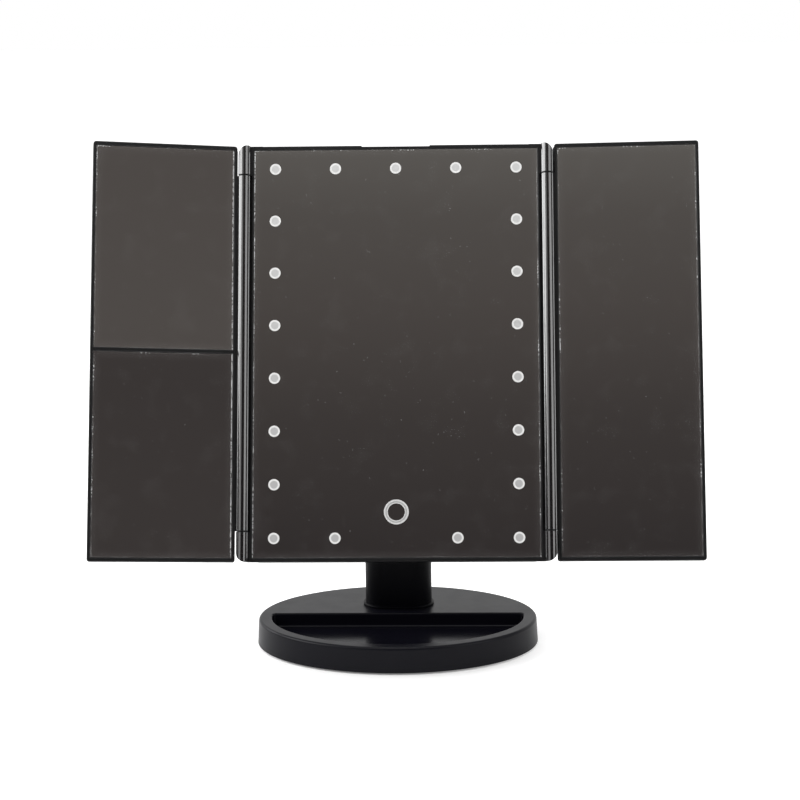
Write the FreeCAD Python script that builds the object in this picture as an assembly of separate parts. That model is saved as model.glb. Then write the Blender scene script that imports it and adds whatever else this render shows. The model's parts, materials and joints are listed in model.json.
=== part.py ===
"""Folding lighted makeup mirror: a three-panel mirror head that tilts on a column over an oval tray base.

Millimetres, +Z up, +X to the user's right, +Y away from the user. The origin is the middle of the base,
on the table. The head is drawn upright in its own frame (X across, Y backwards from its front rim, Z up from
its bottom edge), then leaned back about the tilt axle. Each wing is drawn flat, then opened about its hinge.
"""
import FreeCAD, Part
import math
import os

Vec = FreeCAD.Vector
ACROSS = Vec(1, 0, 0)
BACK = Vec(0, 1, 0)
UP = Vec(0, 0, 1)

# Clearances
FIT = 0.2              # glass, plates and inlays in their seats
SHAFT_FIT = 0.05       # pins, shafts and screws in their holes, on the radius
RUN = 0.3              # between pieces that move past each other
OVER = 1.0             # how far a cutting tool stands past the face that it cuts
SAME_WAY = 1e-6        # how nearly a direction has to match
SAME_PLACE = 1e-4      # how nearly a point has to lie in a plane
EDGE_PROBES = 5        # points of an edge that are tested

# Pose in the photograph
LEAN = 18.5            # head leaned back, degrees
LEFT_OPEN = 12.0       # left wing turned forward from flat, degrees
RIGHT_OPEN = 3.4       # right wing turned forward from flat, degrees

# Base
BASE_HALF_W = 78.6     # at its top
BASE_HALF_D = 58.0
BASE_DRAFT = 0.8       # outline wider at its foot than at its top
BASE_H = 14.1
BASE_WALL = 2.2
BASE_TOP_T = 2.2
BASE_EDGE_R = 1.5
TRAY_RIM = 7.4         # top rim between the tray and the outside
TRAY_BACK = 3.6        # straight back edge of the tray, behind the middle
TRAY_DEPTH = 8.0
TRAY_WALL = 2.0
TRAY_CORNER_R = 2.0
TRAY_FLOOR_R = 1.6
TRAY_EDGE_R = 1.0
PLATE_T = 1.8
PAD_T = 1.0            # soft pad that the base stands on
PAD_INSET = 4.0        # pad inside the bottom plate's outline
WEIGHT_INSET = 5.0     # steel plate inside the bottom plate's outline
BASE_BOSS_R = 3.2
BASE_BOSS_INSET = 14.0
BASE_BOSS_ANGLES = (-140.0, -40.0, 35.0, 145.0)
BASE_SCREW_BITE = 3.0

# Screws
SCREW_R = 1.3
SCREW_HEAD_R = 2.6
SCREW_HEAD_T = 1.1

# Column and tilt joint
COLUMN_W = 38.0
COLUMN_D = 22.0
COLUMN_CORNER_R = 10.0
COLUMN_BEHIND = 23.3   # column and tilt axle behind the middle of the base
COLUMN_WALL = 2.6
COLUMN_CAP_T = 4.0
COLUMN_TOP_R = 2.5
FLANGE_OUT = 1.25
FLANGE_T = 1.5
FLANGE_EDGE_R = 0.6
COLUMN_SCREW_X = 9.0
COLUMN_BOSS_R = 3.4
COLUMN_SCREW_BITE = 9.0
AXLE_ABOVE_BASE = 48.5
AXLE_R = 2.5
EYE_R = 8.5
TONGUE_W = 16.0
SHOULDER_GAP = 2.5     # between the lugs' eyes and the column's shoulder
WASHER_R = 7.0
WASHER_T = 0.8
LUG_T = 5.0
LUG_RISE = 12.0        # gusset above the eye, at the cover
AXLE_HEAD_R = 4.6
AXLE_HEAD_T = 2.8
NUT_ACROSS = 8.0
NUT_T = 4.0
NUT_THREAD_OUT = 0.6

# Head: centre panel
PANEL_H = 238.2
CENTRE_HALF_W = 82.3
CENTRE_CORNER_R = 5.0
RIM = 2.2              # top and bottom rims of all panels
SIDE_RIM = 1.1
RIM_EDGE_R = 0.5
POCKET_EDGE_R = 0.3    # front edges of the mirror pockets
FRAME_DEPTH = 6.0
COVER_DEPTH = 7.0
COVER_EDGE_R = 3.0
COVER_WALL = 2.0
GLASS_RECESS = 0.6
GLASS_T = 2.4
TAPE_T = 0.4
TAPE_W = 6.0
TAPE_INSET = 1.0       # tape inside the glass outline
LIGHT_PLATE_T = 1.6
NOTCH_W = 39.0         # shallow finger notch in the top rim
NOTCH_DEPTH = 0.7
TILT_UP = 24.0         # axle above the panel's bottom edge
TILT_BEHIND = 27.0     # axle behind the panel's front rim
POST_R = 2.8
POST_INSET = 5.6
POST_END = 12.0        # corner posts from the panel's ends
POST_SCREW_BITE = 5.0

# Lights and touch switch
LIGHT_SIDE_INSET = 13.4  # columns of lights from the panel's sides
LIGHT_END_INSET = 13.3   # rows of lights from the panel's top and bottom
LIGHTS_ACROSS = 5
LIGHTS_UP = 8
WINDOW_R = 3.2
INLAY_T = 0.5
LIGHT_HOLE_R = 2.9
CHIP_W = 3.5
CHIP_H = 2.8
CHIP_T = 1.0
BOARD_T = 1.2
LIGHT_BOARD_W = 8.0
RING_UP = 27.9
RING_R = 7.0
RING_BORE_R = 4.8
TOUCH_BOARD_W = 24.0
TOUCH_BOARD_H = 18.0
TOUCH_HOLE_R = 5.0

# Wing hinges
HINGE_X = 86.65
HINGE_FRONT = 0.6      # hinge axis in front of the rims
BARREL_R = 3.4
KNUCKLE_L = 17.0
KNUCKLE_GAP = 0.35
KNUCKLE_CORNER_R = 5.8
KNUCKLE_ROOT = 6.0     # knuckle web inside the panel's side
WEB_T = 2.4
HINGE_LIP_OUT = 6.6    # lip behind the wing's barrel, past the panel's side
HINGE_LIP_T = 1.5
PIN_R = 1.2
PIN_BITE = 12.0        # pin inside the wing's barrel
PIN_SUNK = 1.4         # pin's end below the knuckle's end

# Wings
WING_GAP = 3.95        # hinge axis to the wing's inner edge
WING_REACH = 85.85     # hinge axis to the wing's outer edge
WING_SIDE_RIM = 1.7
WING_CORNER_R = 1.6
WING_POCKET = 5.0
WING_FLOOR_T = 1.2
WING_SEAT = 0.8        # how far the back's pad sits into the frame
WING_SEAT_INSET = 3.0
WING_BACK_T = 1.8
WING_BACK_EDGE_R = 1.3
WING_BACK_LIP = 0.8    # back past the frame, towards the hinge
DIVIDER_UP = 119.0
DIVIDER_W = 2.0
UPPER_CURVE_R = 2200.0  # concave magnifying mirrors
LOWER_CURVE_R = 2200.0
CURVE_LAND = 0.1       # concave face below the glass front, at its corners

# Battery housing on the back
CELLS = 4
CELL_R = 7.1
CELL_L = 49.5
CELL_PITCH = 15.0
NUB_R = 2.75
NUB_T = 1.0
CONTACT_T = 0.5
CONTACT_W = 11.0
SPRING_L = 3.0
SPRING_BIG_R = 5.0
SPRING_SMALL_R = 3.2
WELL_SIDE_GAP = 0.9    # outer cells to the well's sides
WELL_WALL = 1.6
WELL_FLOOR_T = 1.5
WELL_FLOOR_DEPTH = 9.2  # front of the well's floor, behind the rims
HOUSING_LOW = 53.0     # housing's lower end above the panel's bottom edge
HOUSING_END = 4.0      # housing past the well, at each end
HOUSING_HALF_W = 52.0
HOUSING_EDGE_R = 2.0
HOUSING_CORNER_R = 4.0
DOOR_T = 1.7
DOOR_LAP = 2.7         # door past the well's sides
DOOR_END_LAP = 1.4     # door past the well's lower end
TONGUE_OUT = 1.5       # door's side tongues in the housing's grooves
TONGUE_T = 0.7
GRIP_GROOVES = 5
GRIP_PITCH = 3.0
GRIP_W = 1.2
GRIP_DEPTH = 0.6
GRIP_L = 24.0
GRIP_INSET = 6.0

# Control compartment beside the battery well
CONTROL_WALL = 1.6
BOARD_MARGIN = 0.6
BOARD_END = 5.0
BOARD_DEPTH = 18.0     # control board behind the rims
BOARD_BOSS_R = 2.0
BOARD_BOSS_INSET = 4.0
SWITCH_W = 4.4
SWITCH_L = 8.6
SWITCH_UP = 18.0       # switch above the housing's lower end
SWITCH_GAP = 0.3       # switch body under the housing's rear wall
SLIDER_W = 2.1
SLIDER_L = 3.3
SLIDER_TRAVEL = 3.0
SLIDER_SEAT = 1.5
SLIDER_OUT = 1.0
USB_UP = 36.0
USB_W = 8.0
USB_T = 3.0
USB_L = 5.2
USB_MOUTH_W = 6.8
USB_MOUTH_T = 1.8
USB_BACK_T = 1.2       # socket behind its mouth
USB_SUNK = 1.0

# Heights and places that follow
BASE_TOP = PAD_T + BASE_H
PLATE_TOP = PAD_T + PLATE_T
TRAY_FLOOR = BASE_TOP - TRAY_DEPTH
TRAY_SKIN_LOW = TRAY_FLOOR - TRAY_WALL
AXLE_Z = BASE_TOP + AXLE_ABOVE_BASE
SHOULDER_Z = AXLE_Z - EYE_R - SHOULDER_GAP
LUG_IN = TONGUE_W / 2 + RUN + WASHER_T
LUG_OUT = LUG_IN + LUG_T
CENTRE_BACK = FRAME_DEPTH + COVER_DEPTH
COVER_INSIDE = CENTRE_BACK - COVER_WALL
GLASS_BACK = GLASS_RECESS + GLASS_T
PLATE_FRONT = GLASS_BACK + TAPE_T
PLATE_BACK = PLATE_FRONT + LIGHT_PLATE_T
INLAY_BACK = GLASS_RECESS + INLAY_T
WING_FRAME_DEPTH = WING_POCKET + WING_FLOOR_T + WING_SEAT
WING_DEPTH = WING_FRAME_DEPTH + WING_BACK_T
HINGE_LIP_FRONT = BARREL_R - HINGE_FRONT + 2 * RUN
WELL_HALF_W = CELL_PITCH * (CELLS - 1) / 2 + CELL_R + WELL_SIDE_GAP
WELL_LOW = HOUSING_LOW + HOUSING_END
WELL_HIGH = WELL_LOW + 2 * CONTACT_T + SPRING_L + CELL_L + NUB_T
HOUSING_HIGH = WELL_HIGH + HOUSING_END
WELL_FLOOR = WELL_FLOOR_DEPTH + WELL_FLOOR_T
CELL_DEPTH = WELL_FLOOR + FIT + CELL_R
DOOR_SEAT = CELL_DEPTH + CELL_R + 2 * FIT
HOUSING_BACK = DOOR_SEAT + RUN + DOOR_T
DOOR_HALF_W = WELL_HALF_W + DOOR_LAP
DOOR_LOW = WELL_LOW - DOOR_END_LAP
GROOVE_HALF_W = DOOR_HALF_W + TONGUE_OUT + RUN
CONTROL_IN = GROOVE_HALF_W + CONTROL_WALL
CONTROL_OUT = HOUSING_HALF_W - COVER_WALL
BOARD_BACK = BOARD_DEPTH + BOARD_T
CONTROL_MIDDLE = (CONTROL_IN + CONTROL_OUT) / 2
SWITCH_Z = HOUSING_LOW + SWITCH_UP
SWITCH_BACK = DOOR_SEAT - SWITCH_GAP
USB_Z = HOUSING_LOW + USB_UP
USB_MOUTH_X = HOUSING_HALF_W - USB_SUNK


# Shapes

def block(x, y, z):
    """Box between pairs of limits."""
    corner = Vec(x[0], y[0], z[0])
    return Part.makeBox(x[1] - x[0], y[1] - y[0], z[1] - z[0], corner)


def rod(radius, start, axis, length):
    return Part.makeCylinder(radius, length, start, axis)


def ring(outer, inner, start, axis, length):
    return rod(outer, start, axis, length).cut(rod(inner, start, axis, length))


def straight_along(edge, axis):
    """True for a straight edge that runs along an axis."""
    if edge.Curve.TypeId != "Part::GeomLine":
        return False
    return abs(abs(edge.tangentAt(edge.FirstParameter).dot(axis)) - 1) < SAME_WAY


def flat_at(edge, axis, place):
    """True for an edge that lies in the plane across an axis at a place."""
    points = edge.discretize(EDGE_PROBES)
    return all(abs(point.dot(axis) - place) < SAME_PLACE for point in points)


def rounded_block(x, y, z, axis, radius):
    """Box with its four edges along an axis rounded."""
    box = block(x, y, z)
    return box.makeFillet(radius, [edge for edge in box.Edges if straight_along(edge, axis)])


def rounded_rim(shape, axis, place, radius):
    """Rounds every edge of a plain block that lies in one plane."""
    return shape.makeFillet(radius, [edge for edge in shape.Edges if flat_at(edge, axis, place)])


def oval_outline(half_width, half_depth, height):
    return Part.Wire(Part.Ellipse(Vec(0, 0, height), half_width, half_depth).toShape())


def oval(half_width, half_depth, low, high):
    return Part.Face(oval_outline(half_width, half_depth, low)).extrude(UP * (high - low))


def oval_spots(inset, angles):
    """Points on an oval inside the base's outline."""
    spots = []
    for angle in angles:
        turn = math.radians(angle)
        spots.append(((BASE_HALF_W - inset) * math.cos(turn), (BASE_HALF_D - inset) * math.sin(turn)))
    return spots


def frame_strip(x, y, z, width):
    """Rectangular ring of flat strip."""
    hole = block((x[0] + width, x[1] - width), (y[0] - OVER, y[1] + OVER), (z[0] + width, z[1] - width))
    return block(x, y, z).cut(hole)


def screw(seat, axis, bite):
    """Pan-head screw whose head sits on a seat and whose shank runs along the axis."""
    head = rod(SCREW_HEAD_R, seat, axis * -1, SCREW_HEAD_T)
    return head.fuse(rod(SCREW_R, seat, axis, bite)).removeSplitter()


def group(shapes):
    return Part.makeCompound(shapes)


# Placing

def to_head(shape):
    """Leans the upright head back about the tilt axle and sets the axle on the column."""
    placed = shape.copy()
    axle = Vec(0, TILT_BEHIND, TILT_UP)
    placed.rotate(axle, ACROSS, -LEAN)
    placed.translate(Vec(0, COLUMN_BEHIND, AXLE_Z) - axle)
    return placed


def to_right_wing(shape):
    placed = shape.copy()
    placed.rotate(Vec(HINGE_X, -HINGE_FRONT, 0), UP, -RIGHT_OPEN)
    return to_head(placed)


def to_left_wing(shape):
    """Mirrors a wing piece to the left side and opens it there."""
    placed = mirrored(shape)
    placed.rotate(Vec(-HINGE_X, -HINGE_FRONT, 0), UP, LEFT_OPEN)
    return to_head(placed)


def mirrored(shape):
    return shape.mirror(Vec(0, 0, 0), ACROSS)


# Base

def tray_form(grow, low, high):
    """Half-moon with a straight back, grown evenly outwards."""
    half_width = BASE_HALF_W - TRAY_RIM + grow
    half_depth = BASE_HALF_D - TRAY_RIM + grow
    back = TRAY_BACK + grow
    turn = math.asin(back / half_depth)
    curve = Part.Ellipse(Vec(0, 0, low), half_width, half_depth)
    front = Part.ArcOfEllipse(curve, math.pi - turn, 2 * math.pi + turn).toShape()
    ends = [front.valueAt(front.LastParameter), front.valueAt(front.FirstParameter)]
    outline = Part.Wire([front, Part.makeLine(ends[0], ends[1])])
    form = Part.Face(outline).extrude(UP * (high - low))
    corners = [edge for edge in form.Edges if straight_along(edge, UP)]
    return form.makeFillet(TRAY_CORNER_R + grow, corners)


def round_tray(edge):
    """True for an edge of the tray's mouth, which lies nearer the middle than the base's own edge."""
    middle = edge.valueAt((edge.FirstParameter + edge.LastParameter) / 2)
    across = middle.x / (BASE_HALF_W - TRAY_RIM / 2)
    deep = middle.y / (BASE_HALF_D - TRAY_RIM / 2)
    return across * across + deep * deep < 1


def base_shell():
    foot = oval_outline(BASE_HALF_W + BASE_DRAFT, BASE_HALF_D + BASE_DRAFT, PAD_T)
    outside = Part.makeLoft([foot, oval_outline(BASE_HALF_W, BASE_HALF_D, BASE_TOP)], True, True)
    outside = rounded_rim(outside, UP, BASE_TOP, BASE_EDGE_R)
    tray = rounded_rim(tray_form(0, TRAY_FLOOR, BASE_TOP + OVER), UP, TRAY_FLOOR, TRAY_FLOOR_R)
    shell = outside.cut(tray)
    lip = [edge for edge in shell.Edges if flat_at(edge, UP, BASE_TOP) and round_tray(edge)]
    shell = shell.makeFillet(TRAY_EDGE_R, lip)
    inside = oval(BASE_HALF_W - BASE_WALL, BASE_HALF_D - BASE_WALL, PAD_T - OVER, BASE_TOP - BASE_TOP_T)
    shell = shell.cut(inside.cut(tray_form(TRAY_WALL, TRAY_SKIN_LOW, BASE_TOP)))
    for x, y in oval_spots(BASE_BOSS_INSET, BASE_BOSS_ANGLES):
        under = TRAY_SKIN_LOW if y < TRAY_BACK else BASE_TOP - BASE_TOP_T
        shell = shell.fuse(rod(BASE_BOSS_R, Vec(x, y, PLATE_TOP), UP, under - PLATE_TOP + BASE_WALL / 2))
        pilot_l = OVER + BASE_SCREW_BITE + FIT
        shell = shell.cut(rod(SCREW_R + SHAFT_FIT, Vec(x, y, PLATE_TOP - OVER), UP, pilot_l))
    for side in (-1, 1):
        low = Vec(side * COLUMN_SCREW_X, COLUMN_BEHIND, TRAY_FLOOR)
        shell = shell.cut(rod(SCREW_R + FIT, low, UP, TRAY_DEPTH + OVER))
    return shell.removeSplitter()


def base_bottom_plate():
    plate = oval(BASE_HALF_W - BASE_WALL - FIT, BASE_HALF_D - BASE_WALL - FIT, PAD_T, PLATE_TOP)
    for x, y in oval_spots(BASE_BOSS_INSET, BASE_BOSS_ANGLES):
        plate = plate.cut(rod(SCREW_R + SHAFT_FIT, Vec(x, y, PAD_T - OVER), UP, PLATE_T + 2 * OVER))
        plate = plate.cut(rod(SCREW_HEAD_R + FIT, Vec(x, y, PAD_T - OVER), UP, OVER + SCREW_HEAD_T))
    return plate


def base_weight():
    inset = BASE_WALL + FIT + WEIGHT_INSET
    plate = oval(BASE_HALF_W - inset, BASE_HALF_D - inset, PLATE_TOP, TRAY_SKIN_LOW - FIT)
    for x, y in oval_spots(BASE_BOSS_INSET, BASE_BOSS_ANGLES):
        plate = plate.cut(rod(BASE_BOSS_R + FIT, Vec(x, y, PLATE_TOP - OVER), UP, TRAY_DEPTH))
    return plate


def base_pad():
    """Soft anti-slip pad glued under the bottom plate, over its screws."""
    inset = BASE_WALL + FIT + PAD_INSET
    return oval(BASE_HALF_W - inset, BASE_HALF_D - inset, 0, PAD_T)


def base_screws():
    seats = [Vec(x, y, PAD_T + SCREW_HEAD_T) for x, y in oval_spots(BASE_BOSS_INSET, BASE_BOSS_ANGLES)]
    return group([screw(seat, UP, PLATE_T - SCREW_HEAD_T + BASE_SCREW_BITE) for seat in seats])


# Column

def column_bar(shrink, low, high):
    """Upright bar of the column's flattened oval section."""
    x = COLUMN_W / 2 - shrink
    y = COLUMN_D / 2 - shrink
    deep = (COLUMN_BEHIND - y, COLUMN_BEHIND + y)
    return rounded_block((-x, x), deep, (low, high), UP, COLUMN_CORNER_R - shrink)


def column_feet():
    return [Vec(side * COLUMN_SCREW_X, COLUMN_BEHIND, BASE_TOP) for side in (-1, 1)]


def column():
    """Hollow oval post with a foot flange, two screw bosses and the tongue that carries the tilt axle."""
    flange_top = BASE_TOP + FLANGE_T
    cavity_top = SHOULDER_Z - COLUMN_CAP_T
    in_cap = cavity_top + COLUMN_CAP_T / 2
    flange = rounded_rim(column_bar(-FLANGE_OUT, BASE_TOP, flange_top), UP, flange_top, FLANGE_EDGE_R)
    body = rounded_rim(column_bar(0, BASE_TOP, SHOULDER_Z), UP, SHOULDER_Z, COLUMN_TOP_R)
    body = body.fuse(flange).cut(column_bar(COLUMN_WALL, BASE_TOP - OVER, cavity_top))
    half = TONGUE_W / 2
    stem_y = (COLUMN_BEHIND - EYE_R, COLUMN_BEHIND + EYE_R)
    stem = block((-half, half), stem_y, (in_cap, AXLE_Z))
    eye = rod(EYE_R, Vec(-half, COLUMN_BEHIND, AXLE_Z), ACROSS, TONGUE_W)
    bosses = [rod(COLUMN_BOSS_R, foot, UP, in_cap - BASE_TOP) for foot in column_feet()]
    body = body.fuse([stem, eye] + bosses)
    bores = [rod(AXLE_R + SHAFT_FIT, Vec(-TONGUE_W, COLUMN_BEHIND, AXLE_Z), ACROSS, 2 * TONGUE_W)]
    bores += [rod(SCREW_R + SHAFT_FIT, foot, UP, COLUMN_SCREW_BITE + FIT) for foot in column_feet()]
    return body.cut(bores).removeSplitter()


def column_screws():
    bite = BASE_TOP_T + COLUMN_SCREW_BITE
    return group([screw(foot - UP * BASE_TOP_T, UP, bite) for foot in column_feet()])


# Tilt joint, in the head's frame

def axle_point(x):
    return Vec(x, TILT_BEHIND, TILT_UP)


def tilt_axle():
    """Bolt through both lugs and the column's tongue."""
    shank = rod(AXLE_R, axle_point(-LUG_OUT), ACROSS, 2 * LUG_OUT + NUT_T + NUT_THREAD_OUT)
    return shank.fuse(rod(AXLE_HEAD_R, axle_point(-LUG_OUT), ACROSS * -1, AXLE_HEAD_T)).removeSplitter()


def tilt_nut():
    corner_r = NUT_ACROSS / 2 / math.cos(math.pi / 6)
    corners = []
    for step in range(6):
        turn = math.radians(60 * step)
        corners.append(axle_point(LUG_OUT) + (BACK * math.cos(turn) + UP * math.sin(turn)) * corner_r)
    nut = Part.Face(Part.makePolygon(corners + corners[:1])).extrude(ACROSS * NUT_T)
    return nut.cut(rod(AXLE_R + SHAFT_FIT, axle_point(LUG_OUT - OVER), ACROSS, NUT_T + 2 * OVER))


def tilt_washers():
    """Friction washers between the tongue and the lugs."""
    return group([ring(WASHER_R, AXLE_R + SHAFT_FIT, axle_point(start), ACROSS, WASHER_T)
                  for start in (-LUG_IN, LUG_IN - WASHER_T)])


def tilt_lug(inner):
    """Lug on the rear cover: an eye round the axle with a gusset up to the cover."""
    root = COVER_INSIDE + COVER_WALL / 2
    low = TILT_UP - EYE_R
    high = TILT_UP + EYE_R
    profile = [Vec(inner, root, low), Vec(inner, TILT_BEHIND, low), Vec(inner, TILT_BEHIND, high),
               Vec(inner, root, high + LUG_RISE), Vec(inner, root, low)]
    gusset = Part.Face(Part.makePolygon(profile)).extrude(ACROSS * LUG_T)
    return gusset.fuse(rod(EYE_R, axle_point(inner), ACROSS, LUG_T))


# Centre panel

def light_spots():
    """Middles of the lights: the top row, both sides, and the bottom row without its middle one."""
    half_w = CENTRE_HALF_W - LIGHT_SIDE_INSET
    step_x = 2 * half_w / (LIGHTS_ACROSS - 1)
    step_z = (PANEL_H - 2 * LIGHT_END_INSET) / (LIGHTS_UP - 1)
    spots = []
    for column_no in range(LIGHTS_ACROSS):
        for row in range(LIGHTS_UP):
            on_edge = column_no in (0, LIGHTS_ACROSS - 1) or row in (0, LIGHTS_UP - 1)
            over_ring = row == 0 and column_no == LIGHTS_ACROSS // 2
            if on_edge and not over_ring:
                spots.append((column_no * step_x - half_w, LIGHT_END_INSET + row * step_z))
    return spots


def post_spots():
    x = CENTRE_HALF_W - POST_INSET
    return [(side * x, z) for side in (-1, 1) for z in (POST_END, PANEL_H / 2, PANEL_H - POST_END)]


def knuckle(low):
    """Right-hand hinge knuckle of the centre frame, with its web into the panel's corner."""
    span = (low, low + KNUCKLE_L)
    barrel = rod(BARREL_R, Vec(HINGE_X, -HINGE_FRONT, low), UP, KNUCKLE_L)
    web = block((CENTRE_HALF_W - KNUCKLE_ROOT, HINGE_X), (0, PLATE_BACK), span)
    outline_x = HINGE_X + BARREL_R
    outline_y = (-HINGE_FRONT - BARREL_R - OVER, FRAME_DEPTH)
    outline = rounded_block((-outline_x, outline_x), outline_y, (0, PANEL_H), BACK, KNUCKLE_CORNER_R)
    bore = rod(PIN_R + SHAFT_FIT, Vec(HINGE_X, -HINGE_FRONT, low - OVER), UP, KNUCKLE_L + 2 * OVER)
    return barrel.fuse(web).common(outline).cut(bore)


def hinge_lip():
    """Lip of the centre frame that closes the slit behind the right wing's barrel."""
    across = (CENTRE_HALF_W - SIDE_RIM / 2, CENTRE_HALF_W + HINGE_LIP_OUT)
    deep = (HINGE_LIP_FRONT, HINGE_LIP_FRONT + HINGE_LIP_T)
    return block(across, deep, (KNUCKLE_L / 2, PANEL_H - KNUCKLE_L / 2))


def hinge_side():
    right = [knuckle(0), knuckle(PANEL_H - KNUCKLE_L), hinge_lip()]
    return right + [mirrored(one) for one in right]


def soft_pocket(shape, x, z):
    """Rounds the front edges of a mirror pocket between limits."""
    edges = []
    for edge in shape.Edges:
        middle = edge.valueAt((edge.FirstParameter + edge.LastParameter) / 2)
        on_limit = [abs(middle.x - place) < SAME_PLACE for place in x]
        on_limit += [abs(middle.z - place) < SAME_PLACE for place in z]
        if any(on_limit) and flat_at(edge, BACK, 0):
            edges.append(edge)
    return shape.makeFillet(POCKET_EDGE_R, edges)


def centre_frame():
    """Front bezel with hinge knuckles, the plate that carries the glass and lights, and screw posts."""
    side = CENTRE_HALF_W
    frame = rounded_block((-side, side), (0, FRAME_DEPTH), (0, PANEL_H), BACK, CENTRE_CORNER_R)
    frame = rounded_rim(frame, BACK, 0, RIM_EDGE_R).fuse(hinge_side())
    glass_x = side - SIDE_RIM
    pocket_z = (RIM, PANEL_H - RIM)
    frame = frame.cut(block((-glass_x, glass_x), (-OVER, PLATE_FRONT), pocket_z)).removeSplitter()
    frame = soft_pocket(frame, (-glass_x, glass_x), pocket_z)
    cover_x = side - COVER_WALL
    past_back = FRAME_DEPTH + OVER
    notch_z = (PANEL_H - NOTCH_DEPTH, PANEL_H + OVER)
    cuts = [block((-cover_x, cover_x), (PLATE_BACK, past_back), (COVER_WALL, PANEL_H - COVER_WALL)),
            block((-NOTCH_W / 2, NOTCH_W / 2), (-OVER, past_back), notch_z),
            rod(TOUCH_HOLE_R, Vec(0, PLATE_FRONT - OVER, RING_UP), BACK, LIGHT_PLATE_T + 2 * OVER)]
    for x, z in light_spots():
        cuts.append(rod(LIGHT_HOLE_R, Vec(x, PLATE_FRONT - OVER, z), BACK, LIGHT_PLATE_T + 2 * OVER))
    frame = frame.cut(cuts)
    root = PLATE_BACK - LIGHT_PLATE_T / 2
    posts = [rod(POST_R, Vec(x, root, z), BACK, COVER_INSIDE - root) for x, z in post_spots()]
    pilot_front = COVER_INSIDE - POST_SCREW_BITE - FIT
    pilots = [rod(SCREW_R + SHAFT_FIT, Vec(x, pilot_front, z), BACK, COVER_DEPTH) for x, z in post_spots()]
    return frame.fuse(posts).cut(pilots).removeSplitter()


def centre_mirror():
    side = CENTRE_HALF_W - SIDE_RIM - FIT
    glass = block((-side, side), (GLASS_RECESS, GLASS_BACK), (RIM + FIT, PANEL_H - RIM - FIT))
    seats = [rod(WINDOW_R + SHAFT_FIT, Vec(x, 0, z), BACK, INLAY_BACK) for x, z in light_spots()]
    seats.append(ring(RING_R + SHAFT_FIT, RING_BORE_R - SHAFT_FIT, Vec(0, 0, RING_UP), BACK, INLAY_BACK))
    return glass.cut(seats)


def led_windows():
    return group([rod(WINDOW_R, Vec(x, GLASS_RECESS, z), BACK, INLAY_T) for x, z in light_spots()])


def touch_ring():
    return ring(RING_R, RING_BORE_R, Vec(0, GLASS_RECESS, RING_UP), BACK, INLAY_T)


def mirror_tape():
    side = CENTRE_HALF_W - SIDE_RIM - FIT - TAPE_INSET
    low = RIM + FIT + TAPE_INSET
    return frame_strip((-side, side), (GLASS_BACK, PLATE_FRONT), (low, PANEL_H - low), TAPE_W)


def led_board():
    side = CENTRE_HALF_W - LIGHT_SIDE_INSET + LIGHT_BOARD_W / 2
    low = LIGHT_END_INSET - LIGHT_BOARD_W / 2
    deep = (PLATE_BACK, PLATE_BACK + BOARD_T)
    return frame_strip((-side, side), deep, (low, PANEL_H - low), LIGHT_BOARD_W)


def led_chips():
    chips = []
    for x, z in light_spots():
        across = (x - CHIP_W / 2, x + CHIP_W / 2)
        upright = (z - CHIP_H / 2, z + CHIP_H / 2)
        chips.append(block(across, (PLATE_BACK - CHIP_T, PLATE_BACK), upright))
    return group(chips)


def touch_board():
    """Touch sensor board behind the ring, with its pad standing through the plate to the glass."""
    half_w = TOUCH_BOARD_W / 2
    upright = (RING_UP - TOUCH_BOARD_H / 2, RING_UP + TOUCH_BOARD_H / 2)
    board = block((-half_w, half_w), (PLATE_BACK, PLATE_BACK + BOARD_T), upright)
    return board.fuse(rod(RING_BORE_R - FIT, Vec(0, GLASS_BACK, RING_UP), BACK, PLATE_BACK - GLASS_BACK))


# Rear cover, with the battery housing, the control compartment and the tilt lugs

def cover_hollows():
    """Everything cut from the solid cover and housing."""
    cover_x = CENTRE_HALF_W - COVER_WALL
    cover_z = (COVER_WALL, PANEL_H - COVER_WALL)
    inside = block((-cover_x, cover_x), (FRAME_DEPTH - OVER, COVER_INSIDE), cover_z)
    well_x = WELL_HALF_W + WELL_WALL
    well_box = block((-well_x, well_x), (WELL_FLOOR_DEPTH, COVER_INSIDE + OVER),
                     (WELL_LOW - WELL_WALL, WELL_HIGH + WELL_WALL))
    past_back = HOUSING_BACK + OVER
    hollows = [inside.cut(well_box)]
    hollows.append(block((-WELL_HALF_W, WELL_HALF_W), (WELL_FLOOR, past_back), (WELL_LOW, WELL_HIGH)))
    recess_x = DOOR_HALF_W + RUN
    recess_z = (DOOR_LOW - RUN, HOUSING_HIGH + OVER)
    hollows.append(block((-recess_x, recess_x), (DOOR_SEAT, past_back), recess_z))
    groove_y = (DOOR_SEAT, DOOR_SEAT + TONGUE_T + 2 * RUN)
    hollows.append(block((-GROOVE_HALF_W, GROOVE_HALF_W), groove_y, recess_z))
    room_z = (HOUSING_LOW + COVER_WALL, HOUSING_HIGH - COVER_WALL)
    for side in (-1, 1):
        room_x = sorted((side * CONTROL_IN, side * CONTROL_OUT))
        hollows.append(block(room_x, (COVER_INSIDE - OVER, DOOR_SEAT), room_z))
    return hollows


def slider_slot(low, high):
    """Upright slot that the switch's slider runs in."""
    half_w = SLIDER_W / 2 + RUN
    half_l = (SLIDER_L + SLIDER_TRAVEL) / 2 + RUN
    across = (CONTROL_MIDDLE - half_w, CONTROL_MIDDLE + half_w)
    return block(across, (low, high), (SWITCH_Z - half_l, SWITCH_Z + half_l))


def usb_body(grow, start, end):
    half = USB_W / 2 + grow
    return block((start, end), (BOARD_BACK - grow, BOARD_BACK + USB_T + grow), (USB_Z - half, USB_Z + half))


def board_span():
    return HOUSING_LOW + BOARD_END, HOUSING_HIGH - BOARD_END


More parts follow.
